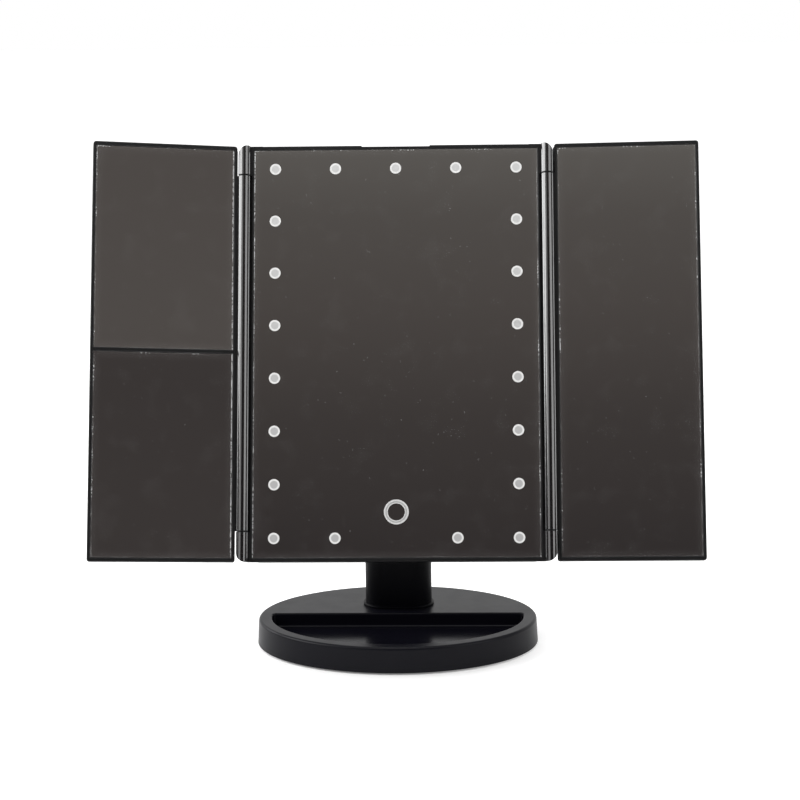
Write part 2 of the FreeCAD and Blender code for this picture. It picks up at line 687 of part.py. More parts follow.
def centre_rear_cover():
    side = CENTRE_HALF_W
    cover = rounded_block((-side, side), (FRAME_DEPTH, CENTRE_BACK), (0, PANEL_H), BACK, CENTRE_CORNER_R)
    cover = rounded_rim(cover, BACK, CENTRE_BACK, COVER_EDGE_R)
    housing_y = (CENTRE_BACK - COVER_WALL / 2, HOUSING_BACK)
    housing = rounded_block((-HOUSING_HALF_W, HOUSING_HALF_W), housing_y, (HOUSING_LOW, HOUSING_HIGH), BACK,
                            HOUSING_CORNER_R)
    housing = rounded_rim(housing, BACK, HOUSING_BACK, HOUSING_EDGE_R)
    lugs = [tilt_lug(LUG_IN), tilt_lug(-LUG_OUT)]
    cover = cover.fuse([housing] + lugs).cut(cover_hollows())
    boss_l = DOOR_SEAT + COVER_WALL / 2 - BOARD_BACK
    low, high = board_span()
    bosses = [rod(BOARD_BOSS_R, Vec(CONTROL_MIDDLE, BOARD_BACK, z), BACK, boss_l)
              for z in (low + BOARD_BOSS_INSET, high - BOARD_BOSS_INSET)]
    cover = cover.fuse(bosses)
    cuts = [rod(AXLE_R + SHAFT_FIT, axle_point(-LUG_OUT - OVER), ACROSS, 2 * (LUG_OUT + OVER)),
            slider_slot(DOOR_SEAT - OVER, HOUSING_BACK + OVER),
            usb_body(RUN, CONTROL_OUT - OVER, HOUSING_HALF_W + OVER)]
    for x, z in post_spots():
        cuts.append(rod(SCREW_R + FIT, Vec(x, COVER_INSIDE - OVER, z), BACK, COVER_WALL + 2 * OVER))
        cuts.append(rod(SCREW_HEAD_R + FIT, Vec(x, CENTRE_BACK - SCREW_HEAD_T, z), BACK, COVER_WALL))
    return cover.cut(cuts).removeSplitter()


def rear_cover_screws():
    bite = COVER_WALL - SCREW_HEAD_T + POST_SCREW_BITE
    return group([screw(Vec(x, CENTRE_BACK - SCREW_HEAD_T, z), BACK * -1, bite) for x, z in post_spots()])


# Batteries and controls

def cell_layout():
    """Each cell's place across the well, and whether its raised end is up."""
    first = -CELL_PITCH * (CELLS - 1) / 2
    return [(first + CELL_PITCH * number, number % 2 == 0) for number in range(CELLS)]


def batteries():
    cells = []
    for x, nub_up in cell_layout():
        low = WELL_LOW + CONTACT_T + (SPRING_L if nub_up else NUB_T)
        body = rod(CELL_R, Vec(x, CELL_DEPTH, low), UP, CELL_L)
        nub_low = low + CELL_L if nub_up else low - NUB_T
        cells.append(body.fuse(rod(NUB_R, Vec(x, CELL_DEPTH, nub_low), UP, NUB_T)))
    return group(cells)


def battery_contacts():
    """Flat contact at each cell's raised end, spring contact at its other end."""
    contacts = []
    half = CONTACT_W / 2
    for x, nub_up in cell_layout():
        across = (x - half, x + half)
        deep = (CELL_DEPTH - half, CELL_DEPTH + half)
        low_plate = block(across, deep, (WELL_LOW, WELL_LOW + CONTACT_T))
        high_plate = block(across, deep, (WELL_HIGH - CONTACT_T, WELL_HIGH))
        root = Vec(x, CELL_DEPTH, WELL_LOW + CONTACT_T if nub_up else WELL_HIGH - CONTACT_T)
        direction = UP if nub_up else UP * -1
        spring = Part.makeCone(SPRING_BIG_R, SPRING_SMALL_R, SPRING_L, root, direction)
        sprung = (low_plate if nub_up else high_plate).fuse(spring)
        contacts += [sprung, high_plate if nub_up else low_plate]
    return group(contacts)


def battery_door():
    """Sliding door with side tongues and a grooved finger grip."""
    front = DOOR_SEAT + RUN
    upright = (DOOR_LOW, HOUSING_HIGH)
    door = block((-DOOR_HALF_W, DOOR_HALF_W), (front, HOUSING_BACK), upright)
    tongue_x = DOOR_HALF_W + TONGUE_OUT
    door = door.fuse(block((-tongue_x, tongue_x), (front, front + TONGUE_T), upright))
    grooves = []
    for number in range(GRIP_GROOVES):
        low = HOUSING_HIGH - GRIP_INSET - number * GRIP_PITCH
        grooves.append(block((-GRIP_L / 2, GRIP_L / 2), (HOUSING_BACK - GRIP_DEPTH, HOUSING_BACK + OVER),
                             (low - GRIP_W, low)))
    return door.cut(grooves).removeSplitter()


def control_board():
    across = (CONTROL_IN + BOARD_MARGIN, CONTROL_OUT - BOARD_MARGIN)
    return block(across, (BOARD_DEPTH, BOARD_BACK), board_span())


def power_switch_body():
    half_w = SWITCH_W / 2
    half_l = SWITCH_L / 2
    across = (CONTROL_MIDDLE - half_w, CONTROL_MIDDLE + half_w)
    body = block(across, (BOARD_BACK, SWITCH_BACK), (SWITCH_Z - half_l, SWITCH_Z + half_l))
    return body.cut(slider_slot(SWITCH_BACK - SLIDER_SEAT, SWITCH_BACK + OVER))


def power_switch_slider():
    """Slider at the low end of its travel."""
    half_w = SLIDER_W / 2
    low = SWITCH_Z - (SLIDER_L + SLIDER_TRAVEL) / 2
    depth = (SWITCH_BACK - SLIDER_SEAT + RUN, HOUSING_BACK + SLIDER_OUT)
    return block((CONTROL_MIDDLE - half_w, CONTROL_MIDDLE + half_w), depth, (low, low + SLIDER_L))


def usb_socket():
    socket = usb_body(0, USB_MOUTH_X - USB_L, USB_MOUTH_X)
    middle = BOARD_BACK + USB_T / 2
    mouth = block((USB_MOUTH_X - USB_L + USB_BACK_T, USB_MOUTH_X + OVER),
                  (middle - USB_MOUTH_T / 2, middle + USB_MOUTH_T / 2),
                  (USB_Z - USB_MOUTH_W / 2, USB_Z + USB_MOUTH_W / 2))
    return socket.cut(mouth)


# Wings, drawn flat on the right side

def wing_span(inset):
    """Limits of the wing across X, drawn in from its edges."""
    return HINGE_X + WING_GAP + inset, HINGE_X + WING_REACH - inset


def wing_panes(divided):
    """Low and high limits of each mirror pocket."""
    if not divided:
        return [(RIM, PANEL_H - RIM)]
    return [(RIM, DIVIDER_UP - DIVIDER_W / 2), (DIVIDER_UP + DIVIDER_W / 2, PANEL_H - RIM)]


def wing_frame(divided):
    """Wing bezel with its mirror pockets, long hinge barrel and web."""
    frame = rounded_block(wing_span(0), (0, WING_FRAME_DEPTH), (0, PANEL_H), BACK, WING_CORNER_R)
    frame = rounded_rim(frame, BACK, 0, RIM_EDGE_R)
    barrel_low = KNUCKLE_L + KNUCKLE_GAP
    barrel_high = PANEL_H - barrel_low
    barrel = rod(BARREL_R, Vec(HINGE_X, -HINGE_FRONT, barrel_low), UP, barrel_high - barrel_low)
    web = block((HINGE_X, HINGE_X + WING_GAP + WING_SIDE_RIM / 2), (0, WEB_T), (barrel_low, barrel_high))
    frame = frame.fuse([barrel, web])
    glass_x = wing_span(WING_SIDE_RIM)
    for pane in wing_panes(divided):
        frame = frame.cut(block(glass_x, (-OVER, WING_POCKET), pane)).removeSplitter()
        frame = soft_pocket(frame, glass_x, pane)
    seat_front = WING_POCKET + WING_FLOOR_T
    seat_z = (WING_SEAT_INSET, PANEL_H - WING_SEAT_INSET)
    cuts = [block(wing_span(WING_SEAT_INSET), (seat_front, WING_FRAME_DEPTH + OVER), seat_z)]
    bore_l = PIN_BITE + FIT
    for start in (barrel_low, barrel_high - bore_l):
        cuts.append(rod(PIN_R + SHAFT_FIT, Vec(HINGE_X, -HINGE_FRONT, start), UP, bore_l))
    return frame.cut(cuts).removeSplitter()


def wing_back():
    """Rear cover of a wing, with a pad that locates it in the frame."""
    inner, outer = wing_span(0)
    across = (inner - WING_BACK_LIP, outer)
    back = rounded_block(across, (WING_FRAME_DEPTH, WING_DEPTH), (0, PANEL_H), BACK, WING_CORNER_R)
    back = rounded_rim(back, BACK, WING_DEPTH, WING_BACK_EDGE_R)
    inset = WING_SEAT_INSET + FIT
    pad_y = (WING_POCKET + WING_FLOOR_T, WING_FRAME_DEPTH + WING_BACK_T / 2)
    pad = block(wing_span(inset), pad_y, (inset, PANEL_H - inset))
    return back.fuse(pad).removeSplitter()


def flat_mirror():
    low, high = wing_panes(False)[0]
    return block(wing_span(WING_SIDE_RIM + FIT), (GLASS_RECESS, GLASS_BACK), (low + FIT, high - FIT))


def concave_mirror(pane, curve_r):
    """Flat-backed magnifying mirror with a spherical hollow front."""
    across = wing_span(WING_SIDE_RIM + FIT)
    low, high = pane[0] + FIT, pane[1] - FIT
    glass = block(across, (GLASS_RECESS, WING_POCKET - TAPE_T), (low, high))
    half_diagonal = math.hypot(across[1] - across[0], high - low) / 2
    sink = curve_r - math.sqrt(curve_r ** 2 - half_diagonal ** 2)
    middle = Vec((across[0] + across[1]) / 2, GLASS_RECESS + CURVE_LAND + sink - curve_r, (low + high) / 2)
    return glass.cut(Part.makeSphere(curve_r, middle))


def wing_tape(divided):
    """Mounting tape behind each mirror of a wing."""
    front = WING_POCKET - TAPE_T if divided else GLASS_BACK
    inset = FIT + TAPE_INSET
    strips = []
    for low, high in wing_panes(divided):
        upright = (low + inset, high - inset)
        strips.append(frame_strip(wing_span(WING_SIDE_RIM + inset), (front, WING_POCKET), upright, TAPE_W))
    return group(strips)


def hinge_pins():
    """Top and bottom hinge pins of the right side."""
    length = KNUCKLE_L - PIN_SUNK + KNUCKLE_GAP + PIN_BITE
    starts = (PIN_SUNK, PANEL_H - PIN_SUNK - length)
    return group([rod(PIN_R, Vec(HINGE_X, -HINGE_FRONT, start), UP, length) for start in starts])


# Assembly

def assembly():
    """Every node's name with its solids in the pose of the photograph."""
    lower_pane, upper_pane = wing_panes(True)
    base = {"base_shell": base_shell(), "base_bottom_plate": base_bottom_plate(),
            "base_weight": base_weight(), "base_pad": base_pad(), "base_screws": base_screws(),
            "column": column(), "column_screws": column_screws()}
    head = {"centre_frame": centre_frame(), "centre_rear_cover": centre_rear_cover(),
            "centre_mirror": centre_mirror(), "led_windows": led_windows(), "touch_ring": touch_ring(),
            "mirror_tape": mirror_tape(), "led_board": led_board(), "led_chips": led_chips(),
            "touch_board": touch_board(), "control_board": control_board(), "usb_socket": usb_socket(),
            "power_switch_body": power_switch_body(), "power_switch_slider": power_switch_slider(),
            "battery_contacts": battery_contacts(), "batteries": batteries(), "battery_door": battery_door(),
            "rear_cover_screws": rear_cover_screws(), "tilt_axle": tilt_axle(), "tilt_nut": tilt_nut(),
            "tilt_washers": tilt_washers(), "right_hinge_pins": hinge_pins(),
            "left_hinge_pins": mirrored(hinge_pins())}
    left = {"left_wing_frame": wing_frame(True), "left_wing_back": wing_back(),
            "left_upper_mirror": concave_mirror(upper_pane, UPPER_CURVE_R),
            "left_lower_mirror": concave_mirror(lower_pane, LOWER_CURVE_R),
            "left_wing_tape": wing_tape(True)}
    right = {"right_wing_frame": wing_frame(False), "right_wing_back": wing_back(),
             "right_mirror": flat_mirror(), "right_wing_tape": wing_tape(False)}
    nodes = dict(base)
    for pieces, place in ((head, to_head), (left, to_left_wing), (right, to_right_wing)):
        for name, shape in pieces.items():
            nodes[name] = place(shape)
    return nodes


def main():
    os.makedirs("parts", exist_ok=True)
    for name, shape in assembly().items():
        shape.exportStep("parts/" + name + ".step")
        print(name, len(shape.Solids), round(shape.Volume, 1), shape.isValid())


main()
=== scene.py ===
"""Folding lighted makeup mirror: finishes, small details, stage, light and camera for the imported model.

Everything is in metres, in the model's own frame: +X to the user's right, +Y away from them, +Z up.
"""

import json
import math

import bmesh
import bpy
from mathutils import Matrix, Vector


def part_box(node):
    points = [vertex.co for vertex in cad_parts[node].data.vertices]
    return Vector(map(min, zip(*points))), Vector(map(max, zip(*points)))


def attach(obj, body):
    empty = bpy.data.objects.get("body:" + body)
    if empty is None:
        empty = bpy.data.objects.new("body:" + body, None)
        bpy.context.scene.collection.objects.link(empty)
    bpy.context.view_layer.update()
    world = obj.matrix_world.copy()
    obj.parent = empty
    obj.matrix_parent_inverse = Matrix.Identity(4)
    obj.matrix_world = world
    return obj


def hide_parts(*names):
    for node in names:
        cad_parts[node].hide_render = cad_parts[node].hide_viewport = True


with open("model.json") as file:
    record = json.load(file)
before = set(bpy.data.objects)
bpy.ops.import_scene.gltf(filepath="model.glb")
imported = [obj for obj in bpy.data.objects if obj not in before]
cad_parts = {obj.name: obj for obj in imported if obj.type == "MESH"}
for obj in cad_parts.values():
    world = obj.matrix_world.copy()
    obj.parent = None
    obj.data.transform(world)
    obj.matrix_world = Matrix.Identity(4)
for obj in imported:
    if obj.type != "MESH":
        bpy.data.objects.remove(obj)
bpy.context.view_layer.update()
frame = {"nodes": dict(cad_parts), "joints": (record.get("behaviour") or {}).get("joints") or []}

MM = 0.001
ACROSS = Vector((1, 0, 0))

# Camera, from a fit to the lights, panel edges and base oval
CAMERA_LENS = 90.0             # millimetres
CAMERA_SENSOR = 36.0           # millimetres wide
CAMERA_DISTANCE = 1.10947
CAMERA_PITCH = 11.578          # degrees
CAMERA_YAW = 1.798
CAMERA_ROLL = -0.713
CAMERA_TARGET = Vector((0.00284, 0, 0.13964))

# Floor
FLOOR_HALF = 12.0
FLOOR_DROP = 0.05 * MM
FLOOR_ROUGHNESS = 0.9
LIFT_MIDDLE = (-0.045, -0.15, 0.0)
NEAR_LIFT = 0.16               # brightness added to the floor round that point
FAR_LIFT = 0.8
NEAR_REACH = 0.08
FAR_REACH = 0.3
REFLECTED_LIFT = 0.5           # share of it in reflections

# The unlit half of the studio, which the mirrors face: sine of elevation, then linear colour
FRONT_TONES = (
    (0.00, (0.030, 0.027, 0.026)),
    (0.36, (0.0365, 0.0313, 0.0305)),
    (0.42, (0.052, 0.045, 0.0425)),
    (0.47, (0.0755, 0.066, 0.061)),
    (0.51, (0.090, 0.081, 0.0745)),
    (0.55, (0.129, 0.120, 0.110)),
    (0.80, (0.300, 0.300, 0.300)),
)
BACKDROP_EDGE = (-0.1, 0.25)   # y of the directions over which it gives way to the white backdrop

# Lamps, all aimed at one point
LAMP_AIM = Vector((0, 0, 0.15))
# Azimuth from the front towards +X and elevation, both in degrees, then distance, size and radiance
SOFT_BOXES = {
    "soft_box_left": (-93, 31, 1.25, (1.55, 0.8), 5.0),
    "soft_box_fill": (-46, 22, 1.35, (0.95, 0.75), 1.25),
    "soft_box_right": (56, 24, 1.3, (0.95, 0.8), 2.1),
    "soft_box_top": (-8, 66, 1.0, (0.7, 0.5), 2.2),
}

# Edges and patterns of all finishes
EDGE_COSINES = (0.99, 0.8)     # between the rounded and the true normal, on faces and on edges
BEVEL_SAMPLES = 4
MOST_NOISE = (0.3, 0.7)        # where nearly all of a noise pattern lies

# Moulded plastic
EDGE_ROUND = 0.2 * MM          # softening of its edges
TONE_PATCH = 30 * MM
GLOSS_PATCH = 14 * MM
EDGE_WEAR = 0.35
EDGE_POLISH = 0.1              # roughness that edges lose
WORN_SHADE = 2.2               # worn edges, times the colour
DUST_PITCH = 2.6 * MM
DUST_SPECK = (0.055, 0.03)     # rim and core of a speck, as shares of the pitch
DUST_COVER = 0.1

# Hinge barrels and tray
BARREL_R = 3.4 * MM
BARREL_EDGE = 0.25 * MM        # how far past the barrel its gloss fades
BARREL_END = (0.4 * MM, 0.65 * MM)    # where its gloss begins, from the middle of the gap at its end
STREAK_W = 1.2 * MM            # polishing streaks
STREAK_SCALE = (1, 1, 0.05)
LACQUER_ROUGHNESS = 0.12
LACQUER_IOR = 1.9
TRAY_EDGE = 0.8 * MM           # tray's rounded rim
TRAY_REACH = (0.96, 0.94)      # shares of the base's oval over which its wall gives way to the tray
TRAY_POLISH = 0.14             # roughness that the tray loses

# Mirror glass
GROUND_EDGE = 0.8 * MM         # ground rim of the glass
GROUND_CORE = 0.4 * GROUND_EDGE
RIM_LINE = (0.02, 0.08)        # least and most strength of the rim's line
RIM_PATCH = 14 * MM
RIM_FLAKE = 1.1 * MM
PATCH_RANGE = (0.35, 0.65)     # noise over which patches of the line grow strong
FLAKE_RANGE = (0.4, 0.56)
FLAKE_LEAST = 0.25             # share of the line that is left between flakes
CHIP_REACH = 0.8 * MM          # how far chips run in from the rim
CHIP_RANGE = (1.12, 1.22)      # sum of patches and flakes over which chips show
CHIP_COVER = 0.5
GLASS_DUST_PITCH = 5 * MM
GLASS_DUST_SPECK = (0.075, 0.03)
RIM_SHEEN_REACH = 5 * MM            # faint lighter band inside the rim, painted reflection
RIM_SHEEN_COVER = 0.014
SMUDGE_PATCH = 14 * MM
SMUDGE_RANGE = (0.5, 0.72)
SMUDGE_COVER = 0.007
WIPE_PITCH = 18 * MM
WIPE_SPECK = (0.08, 0.03)
WIPE_SCALE = (1, 1, 0.3)
WIPE_COVER = 0.005
MARKED = 0.6                   # cover at which the glass is fully rough

# Etched glass
LIGHTS_ACROSS = 5
LIGHTS_UP = 8
LIGHT_RIM = (0.76, 0.6)        # end of a light's pale rim, as shares of its radius
TOP_GREY_PAINTED_LIGHT = 0.6               # how much of their grey the topmost lights' middles have; paler towards the top is painted light from above
RING_LINE = 0.815              # grey line in the touch ring, as a share of its radius
RING_LINE_HALF = (0.65 * MM, 0.15 * MM)    # its half width, at its rim and its core
FROST_GRAIN = 0.35 * MM
FROST_RANGE = (0.35, 0.75)
FROST_COVER = 0.12

# Small pieces that are drawn here in place of plain solids
ROUND_STEPS = 24
CELL_STEPS = 40
OVAL_STEPS = 120
WIRE_STEPS = 8
COIL_STEPS = 28                # for each turn
ISLAND_REACH = 10 * MM         # wider than one screw or light, narrower than the space between two
SCREW_HEAD_T = 1.1 * MM
SCREW_R = 1.3 * MM
SCREW_THREAD = 0.8 * MM
SCREW_TURN = 37                # degrees from one screw's cross to the next one's
BOLT_HEAD_T = 2.8 * MM
BOLT_R = 2.5 * MM
BOLT_THREAD = 0.8 * MM
THREAD_ROOT = 0.84             # share of the shank's radius, as is its tip
SHANK_TIP = 0.6
# A pan head from its seat to its flat top: shares of its radius and height
PAN_HEAD = ((0.98, 0.0), (1.0, 0.1), (1.0, 0.4), (0.96, 0.68), (0.87, 0.9), (0.74, 1.0))
CROSS_ARM = 0.52               # shares of the head's radius, then of its height
CROSS_HALF = 0.13
CROSS_DEPTH = 0.7
CROSS_TAPER = 0.7              # the recess at its floor, as a share of its mouth
CELLS = 4
NUB_R = 2.75 * MM
NUB_T = 1.0 * MM
FILM, PLATED = 0, 1            # places of a cell's two materials
# A cell's flat end, then its shoulder and nub: share of a radius, height from that end of the can, material
CELL_FOOT = ((0.8, 0.25 * MM, PLATED), (0.86, 0.0, PLATED), (0.93, 0.1 * MM, PLATED),
             (0.97, 0.35 * MM, FILM), (1.0, 0.9 * MM, FILM))
CELL_SHOULDER = ((1.0, -3.2 * MM, FILM), (0.98, -2.9 * MM, FILM), (0.98, -2.5 * MM, FILM),
                 (1.0, -2.2 * MM, FILM), (1.0, -0.9 * MM, FILM), (0.96, -0.3 * MM, FILM),
                 (0.88, 0.0, FILM), (0.84, -0.35 * MM, PLATED))
CELL_NUB = ((1.2, -0.3 * MM, PLATED), (1.0, -0.1 * MM, PLATED), (1.0, 0.7 * NUB_T, PLATED),
            (0.85, NUB_T, PLATED))
CONTACT_T = 0.5 * MM
CONTACT_W = 11.0 * MM
CONTACT_CORNER = 1.6 * MM
# A contact plate's broken edge: shares of its width and thickness
CONTACT_SIDE = ((0.98, 0.0), (1.0, 0.15), (1.0, 0.85), (0.98, 1.0))
SPRING_L = 3.0 * MM
SPRING_BIG_R = 5.0 * MM
SPRING_SMALL_R = 3.2 * MM
SPRING_WIRE_R = 0.38 * MM
SPRING_TURNS = 3.25
WASHER_R = 2.85 * MM
WASHER_BORE_R = 1.3 * MM
WASHER_PLAY = 0.05 * MM
WASHER_EDGE = 0.2              # broken edge, as a share of the thickness
SOCKET_BACK = 1.2 * MM         # socket behind its mouth
TONGUE_W = 4.6 * MM
TONGUE_T = 0.6 * MM
TONGUE_SUNK = 0.7 * MM
TONGUE_PINS = 5
PIN_PITCH = 0.65 * MM
PIN_W = 0.35 * MM
PIN_T = 0.06 * MM
PAD_MIDDLE = 40.0 * MM
PAD_GROOVES = (8.0 * MM, 18.0 * MM, 30.0 * MM)
PAD_GROOVE_HALF = 1.0 * MM
PAD_GROOVE_DEPTH = 0.3 * MM
# A groove from its inner to its outer rim: shares of its half width and depth
PAD_GROOVE = ((1.0, 0.0), (0.6, 1.0), (-0.6, 1.0), (-1.0, 0.0))
# The pad's side from its underside to its top: how far in, and the share of its height
PAD_SIDE = ((0.35 * MM, 0.0), (0.12 * MM, 0.08), (0.05 * MM, 0.25), (0.2 * MM, 0.5), (0.05 * MM, 0.78),
            (0.12 * MM, 0.93), (0.3 * MM, 1.0))

# Colours, linear
WHITE = (1.0, 1.0, 1.0)
FLOOR_WHITE = (0.8, 0.8, 0.8)
SATIN_BLACK = (0.006, 0.006, 0.0065)
GRAINED_BLACK = (0.011, 0.011, 0.012)
BASE_BLACK = (0.0035, 0.0034, 0.006)
# Darker than the base's black: painted shade, as the column stands in the head's shadow
COLUMN_SHADED_BLACK = (0.0016, 0.0016, 0.003)
DUST_GREY = (0.12, 0.12, 0.115)
SILVER = (0.86, 0.865, 0.87)
BRIGHT_SILVER = (0.94, 0.945, 0.95)
CHIPPED_GLASS = (0.62, 0.64, 0.64)
ETCHED_RIM = (0.82, 0.82, 0.81)
ETCHED_MIDDLE = (0.45, 0.45, 0.45)
RING_PALE = (0.69, 0.69, 0.685)
RING_GREY = (0.4, 0.4, 0.4)
ZINC = (0.56, 0.57, 0.58)
BLACKENED = (0.02, 0.02, 0.021)
NICKEL = (0.66, 0.64, 0.60)
BALLAST = (0.10, 0.10, 0.105)
BOARD_GREEN = (0.012, 0.085, 0.035)
TRACE_GREEN = (0.03, 0.17, 0.075)
PHOSPHOR = (0.85, 0.72, 0.25)
CHIP_WHITE = (0.8, 0.8, 0.78)
TAPE_GREY = (0.05, 0.05, 0.052)
FOAM_BLACK = (0.018, 0.018, 0.019)
SLEEVE = (0.035, 0.037, 0.045)
NYLON_BLACK = (0.012, 0.012, 0.012)

# Panel axes, from the joints
joints = {joint["name"]: joint for joint in frame["joints"]}
LEFT_HINGE = Vector(joints["left_wing_fold"]["pos_m"])
RIGHT_HINGE = Vector(joints["right_wing_fold"]["pos_m"])
HEAD_UP = Vector(joints["left_wing_fold"]["axis"])
HEAD_BACK = HEAD_UP.cross(ACROSS)
HINGE_X = (RIGHT_HINGE - LEFT_HINGE).length / 2


def panel_axes(foot, turn):
    """Matrix to a panel's own axes, which start at foot: x across it, y to its back, z up it."""
    turned = Matrix.Rotation(math.radians(turn), 3, HEAD_UP)
    rows = Matrix((turned @ ACROSS, turned @ HEAD_BACK, HEAD_UP)).to_4x4()
    return rows @ Matrix.Translation(-foot)


HEAD = panel_axes((LEFT_HINGE + RIGHT_HINGE) / 2, 0)
LEFT_WING = panel_axes(LEFT_HINGE, -joints["left_wing_fold"]["range_deg"][0])
RIGHT_WING = panel_axes(RIGHT_HINGE, joints["right_wing_fold"]["range_deg"][0])

# Each mirror's panel, silvering, least and most strength of the painted highlight on its left and on its
# right rim, and dust
MIRRORS = {
    "centre_mirror": (HEAD, SILVER, (0.15, 0.5), (0.08, 0.3), 0.175),
    "left_upper_mirror": (LEFT_WING, BRIGHT_SILVER, (0.02, 0.3), (0.4, 0.9), 0.08),
    "left_lower_mirror": (LEFT_WING, BRIGHT_SILVER, (0.02, 0.3), (0.4, 0.9), 0.08),
    "right_mirror": (RIGHT_WING, SILVER, (0.05, 0.2), (0.05, 0.25), 0.14),
}


# Measures, from the nodes

def panel_box(points):
    """Lowest and highest corner of points."""
    low = Vector(min(point[i] for point in points) for i in range(3))
    high = Vector(max(point[i] for point in points) for i in range(3))
    return low, high


def panel_points(name, axes):
    """A node's vertices in a panel's axes."""
    return [axes @ vertex.co for vertex in frame["nodes"][name].data.vertices]


def panel_islands(name, axes, reach):
    """Boxes of a node's separate solids, which lie further apart than reach across and up the panel."""
    groups = []
    for point in panel_points(name, axes):
        for group in groups:
            if math.hypot(point.x - group[0].x, point.z - group[0].z) < reach:
                group.append(point)
                break
        else:
            groups.append([point])
    return [panel_box(group) for group in groups]


def near_hinge(name, side):
    """Heights, up the head, of a node's vertices on or in one side's hinge barrel."""
    points = panel_points(name, HEAD)
    return [point.z for point in points
            if math.hypot(point.x - side * HINGE_X, point.y) < BARREL_R + WASHER_PLAY]


def hinge_gaps(side, wing):
    """Heights, up the head, between which one side's knuckles and wing barrel leave a gap."""
    barrel = near_hinge(wing, side)
    middle = (min(barrel) + max(barrel)) / 2
    knuckles = near_hinge("centre_frame", side)
    below = max(z for z in knuckles if z < middle)
    above = min(z for z in knuckles if z > middle)
    return (below, min(barrel)), (max(barrel), above)


# Shader helpers

def add_node(tree, kind, inputs=None, **settings):
    """A shader node with its settings, and its inputs linked or set."""
    made = tree.nodes.new("ShaderNode" + kind)
    for name, value in settings.items():
        setattr(made, name, value)
    for name, value in (inputs or {}).items():
        feed(tree, made.inputs[name], value)
    return made


def feed(tree, socket, value):
    """Links a socket to another socket, or sets it to a number, vector or colour."""
    if isinstance(value, bpy.types.NodeSocket):
        tree.links.new(value, socket)
    elif isinstance(value, tuple) and len(value) == 3 and socket.type == "RGBA":
        socket.default_value = (*value, 1.0)
    else:
        socket.default_value = value


def calc(tree, operation, *values):
    """One step of arithmetic on sockets and numbers."""
    return add_node(tree, "Math", dict(enumerate(values)), operation=operation).outputs[0]


def span(tree, first, second):
    """Length of a step with these two parts at right angles."""
    squares = [calc(tree, "POWER", part, 2.0) for part in (first, second)]
    return calc(tree, "SQRT", calc(tree, "ADD", *squares))


def remap(tree, value, low, high, to_low=0.0, to_high=1.0):
    """A smooth clamped change of range."""
    inputs = {"Value": value, "From Min": low, "From Max": high, "To Min": to_low, "To Max": to_high}
    return add_node(tree, "MapRange", inputs, interpolation_type="SMOOTHSTEP").outputs["Result"]


def spread(tree, pattern, low, high):
    """Noise made to run from low to high."""
    return remap(tree, pattern, *MOST_NOISE, low, high)


def mix_colour(tree, share, first, second):
    """First colour where share is 0, second where it is 1."""
    made = add_node(tree, "Mix", {"Factor": share}, data_type="RGBA")
    feed(tree, made.inputs[6], first)
    feed(tree, made.inputs[7], second)
    return made.outputs[2]


def shade(share, colour):
    """A darker or paler colour."""
    return tuple(share * channel for channel in colour)


def toned(tree, pattern, colour, darkest, palest):
    """A colour that a pattern takes from one shade of it to another."""
    return mix_colour(tree, pattern, shade(darkest, colour), shade(palest, colour))


def noise(tree, place, size, detail=2.0, rough=0.5):
    """Noise whose patches are about size across."""
    inputs = {"Vector": place, "Scale": 1 / size, "Detail": detail, "Roughness": rough}
    return add_node(tree, "TexNoise", inputs).outputs["Fac"]


def scattered(tree, place, size):
    """Distance to the nearest of scattered points, which are about size apart."""
    return add_node(tree, "TexVoronoi", {"Vector": place, "Scale": 1 / size}).outputs["Distance"]


def split(tree, place):
    """A place's x, y and z."""
    return add_node(tree, "SeparateXYZ", {"Vector": place}).outputs[:3]


def own_place(tree):
    """A piece's place in the model's frame, which moves with the piece."""
    return add_node(tree, "TexCoord").outputs["Object"]


def panel_place(tree, axes):
    """A piece's place in a panel's axes."""
    inputs = {"Vector": own_place(tree), "Location": axes.translation, "Rotation": axes.to_euler()}
    return add_node(tree, "Mapping", inputs).outputs["Vector"]


def stretched(tree, place, scale):
    """A place with its axes scaled, so that a pattern is long where the scale is small."""
    return add_node(tree, "Mapping", {"Vector": place, "Scale": scale}).outputs["Vector"]


def bump(tree, height, depth, normal=None):
    """Shading normal of a surface with this height pattern."""
    inputs = {"Height": height, "Distance": depth, "Strength": 1.0}
    if normal:
        inputs["Normal"] = normal
    return add_node(tree, "Bump", inputs).outputs["Normal"]


def soft_edges(tree, radius):
    """Shading normal with its edges rounded."""
    return add_node(tree, "Bevel", {"Radius": radius}, samples=BEVEL_SAMPLES).outputs["Normal"]


def edge_share(tree, rounded):
    """Where the rounded normal leaves the true one: 0 on faces, towards 1 on edges."""
    true = add_node(tree, "NewGeometry").outputs["Normal"]
    along = add_node(tree, "VectorMath", {0: rounded, 1: true}, operation="DOT_PRODUCT").outputs["Value"]
    return remap(tree, along, *EDGE_COSINES)


def new_finish(name):
    """A material, its node tree and its shader."""
    material = bpy.data.materials.new(name)
    material.use_nodes = True
    return material, material.node_tree, material.node_tree.nodes["Principled BSDF"]


# Finishes

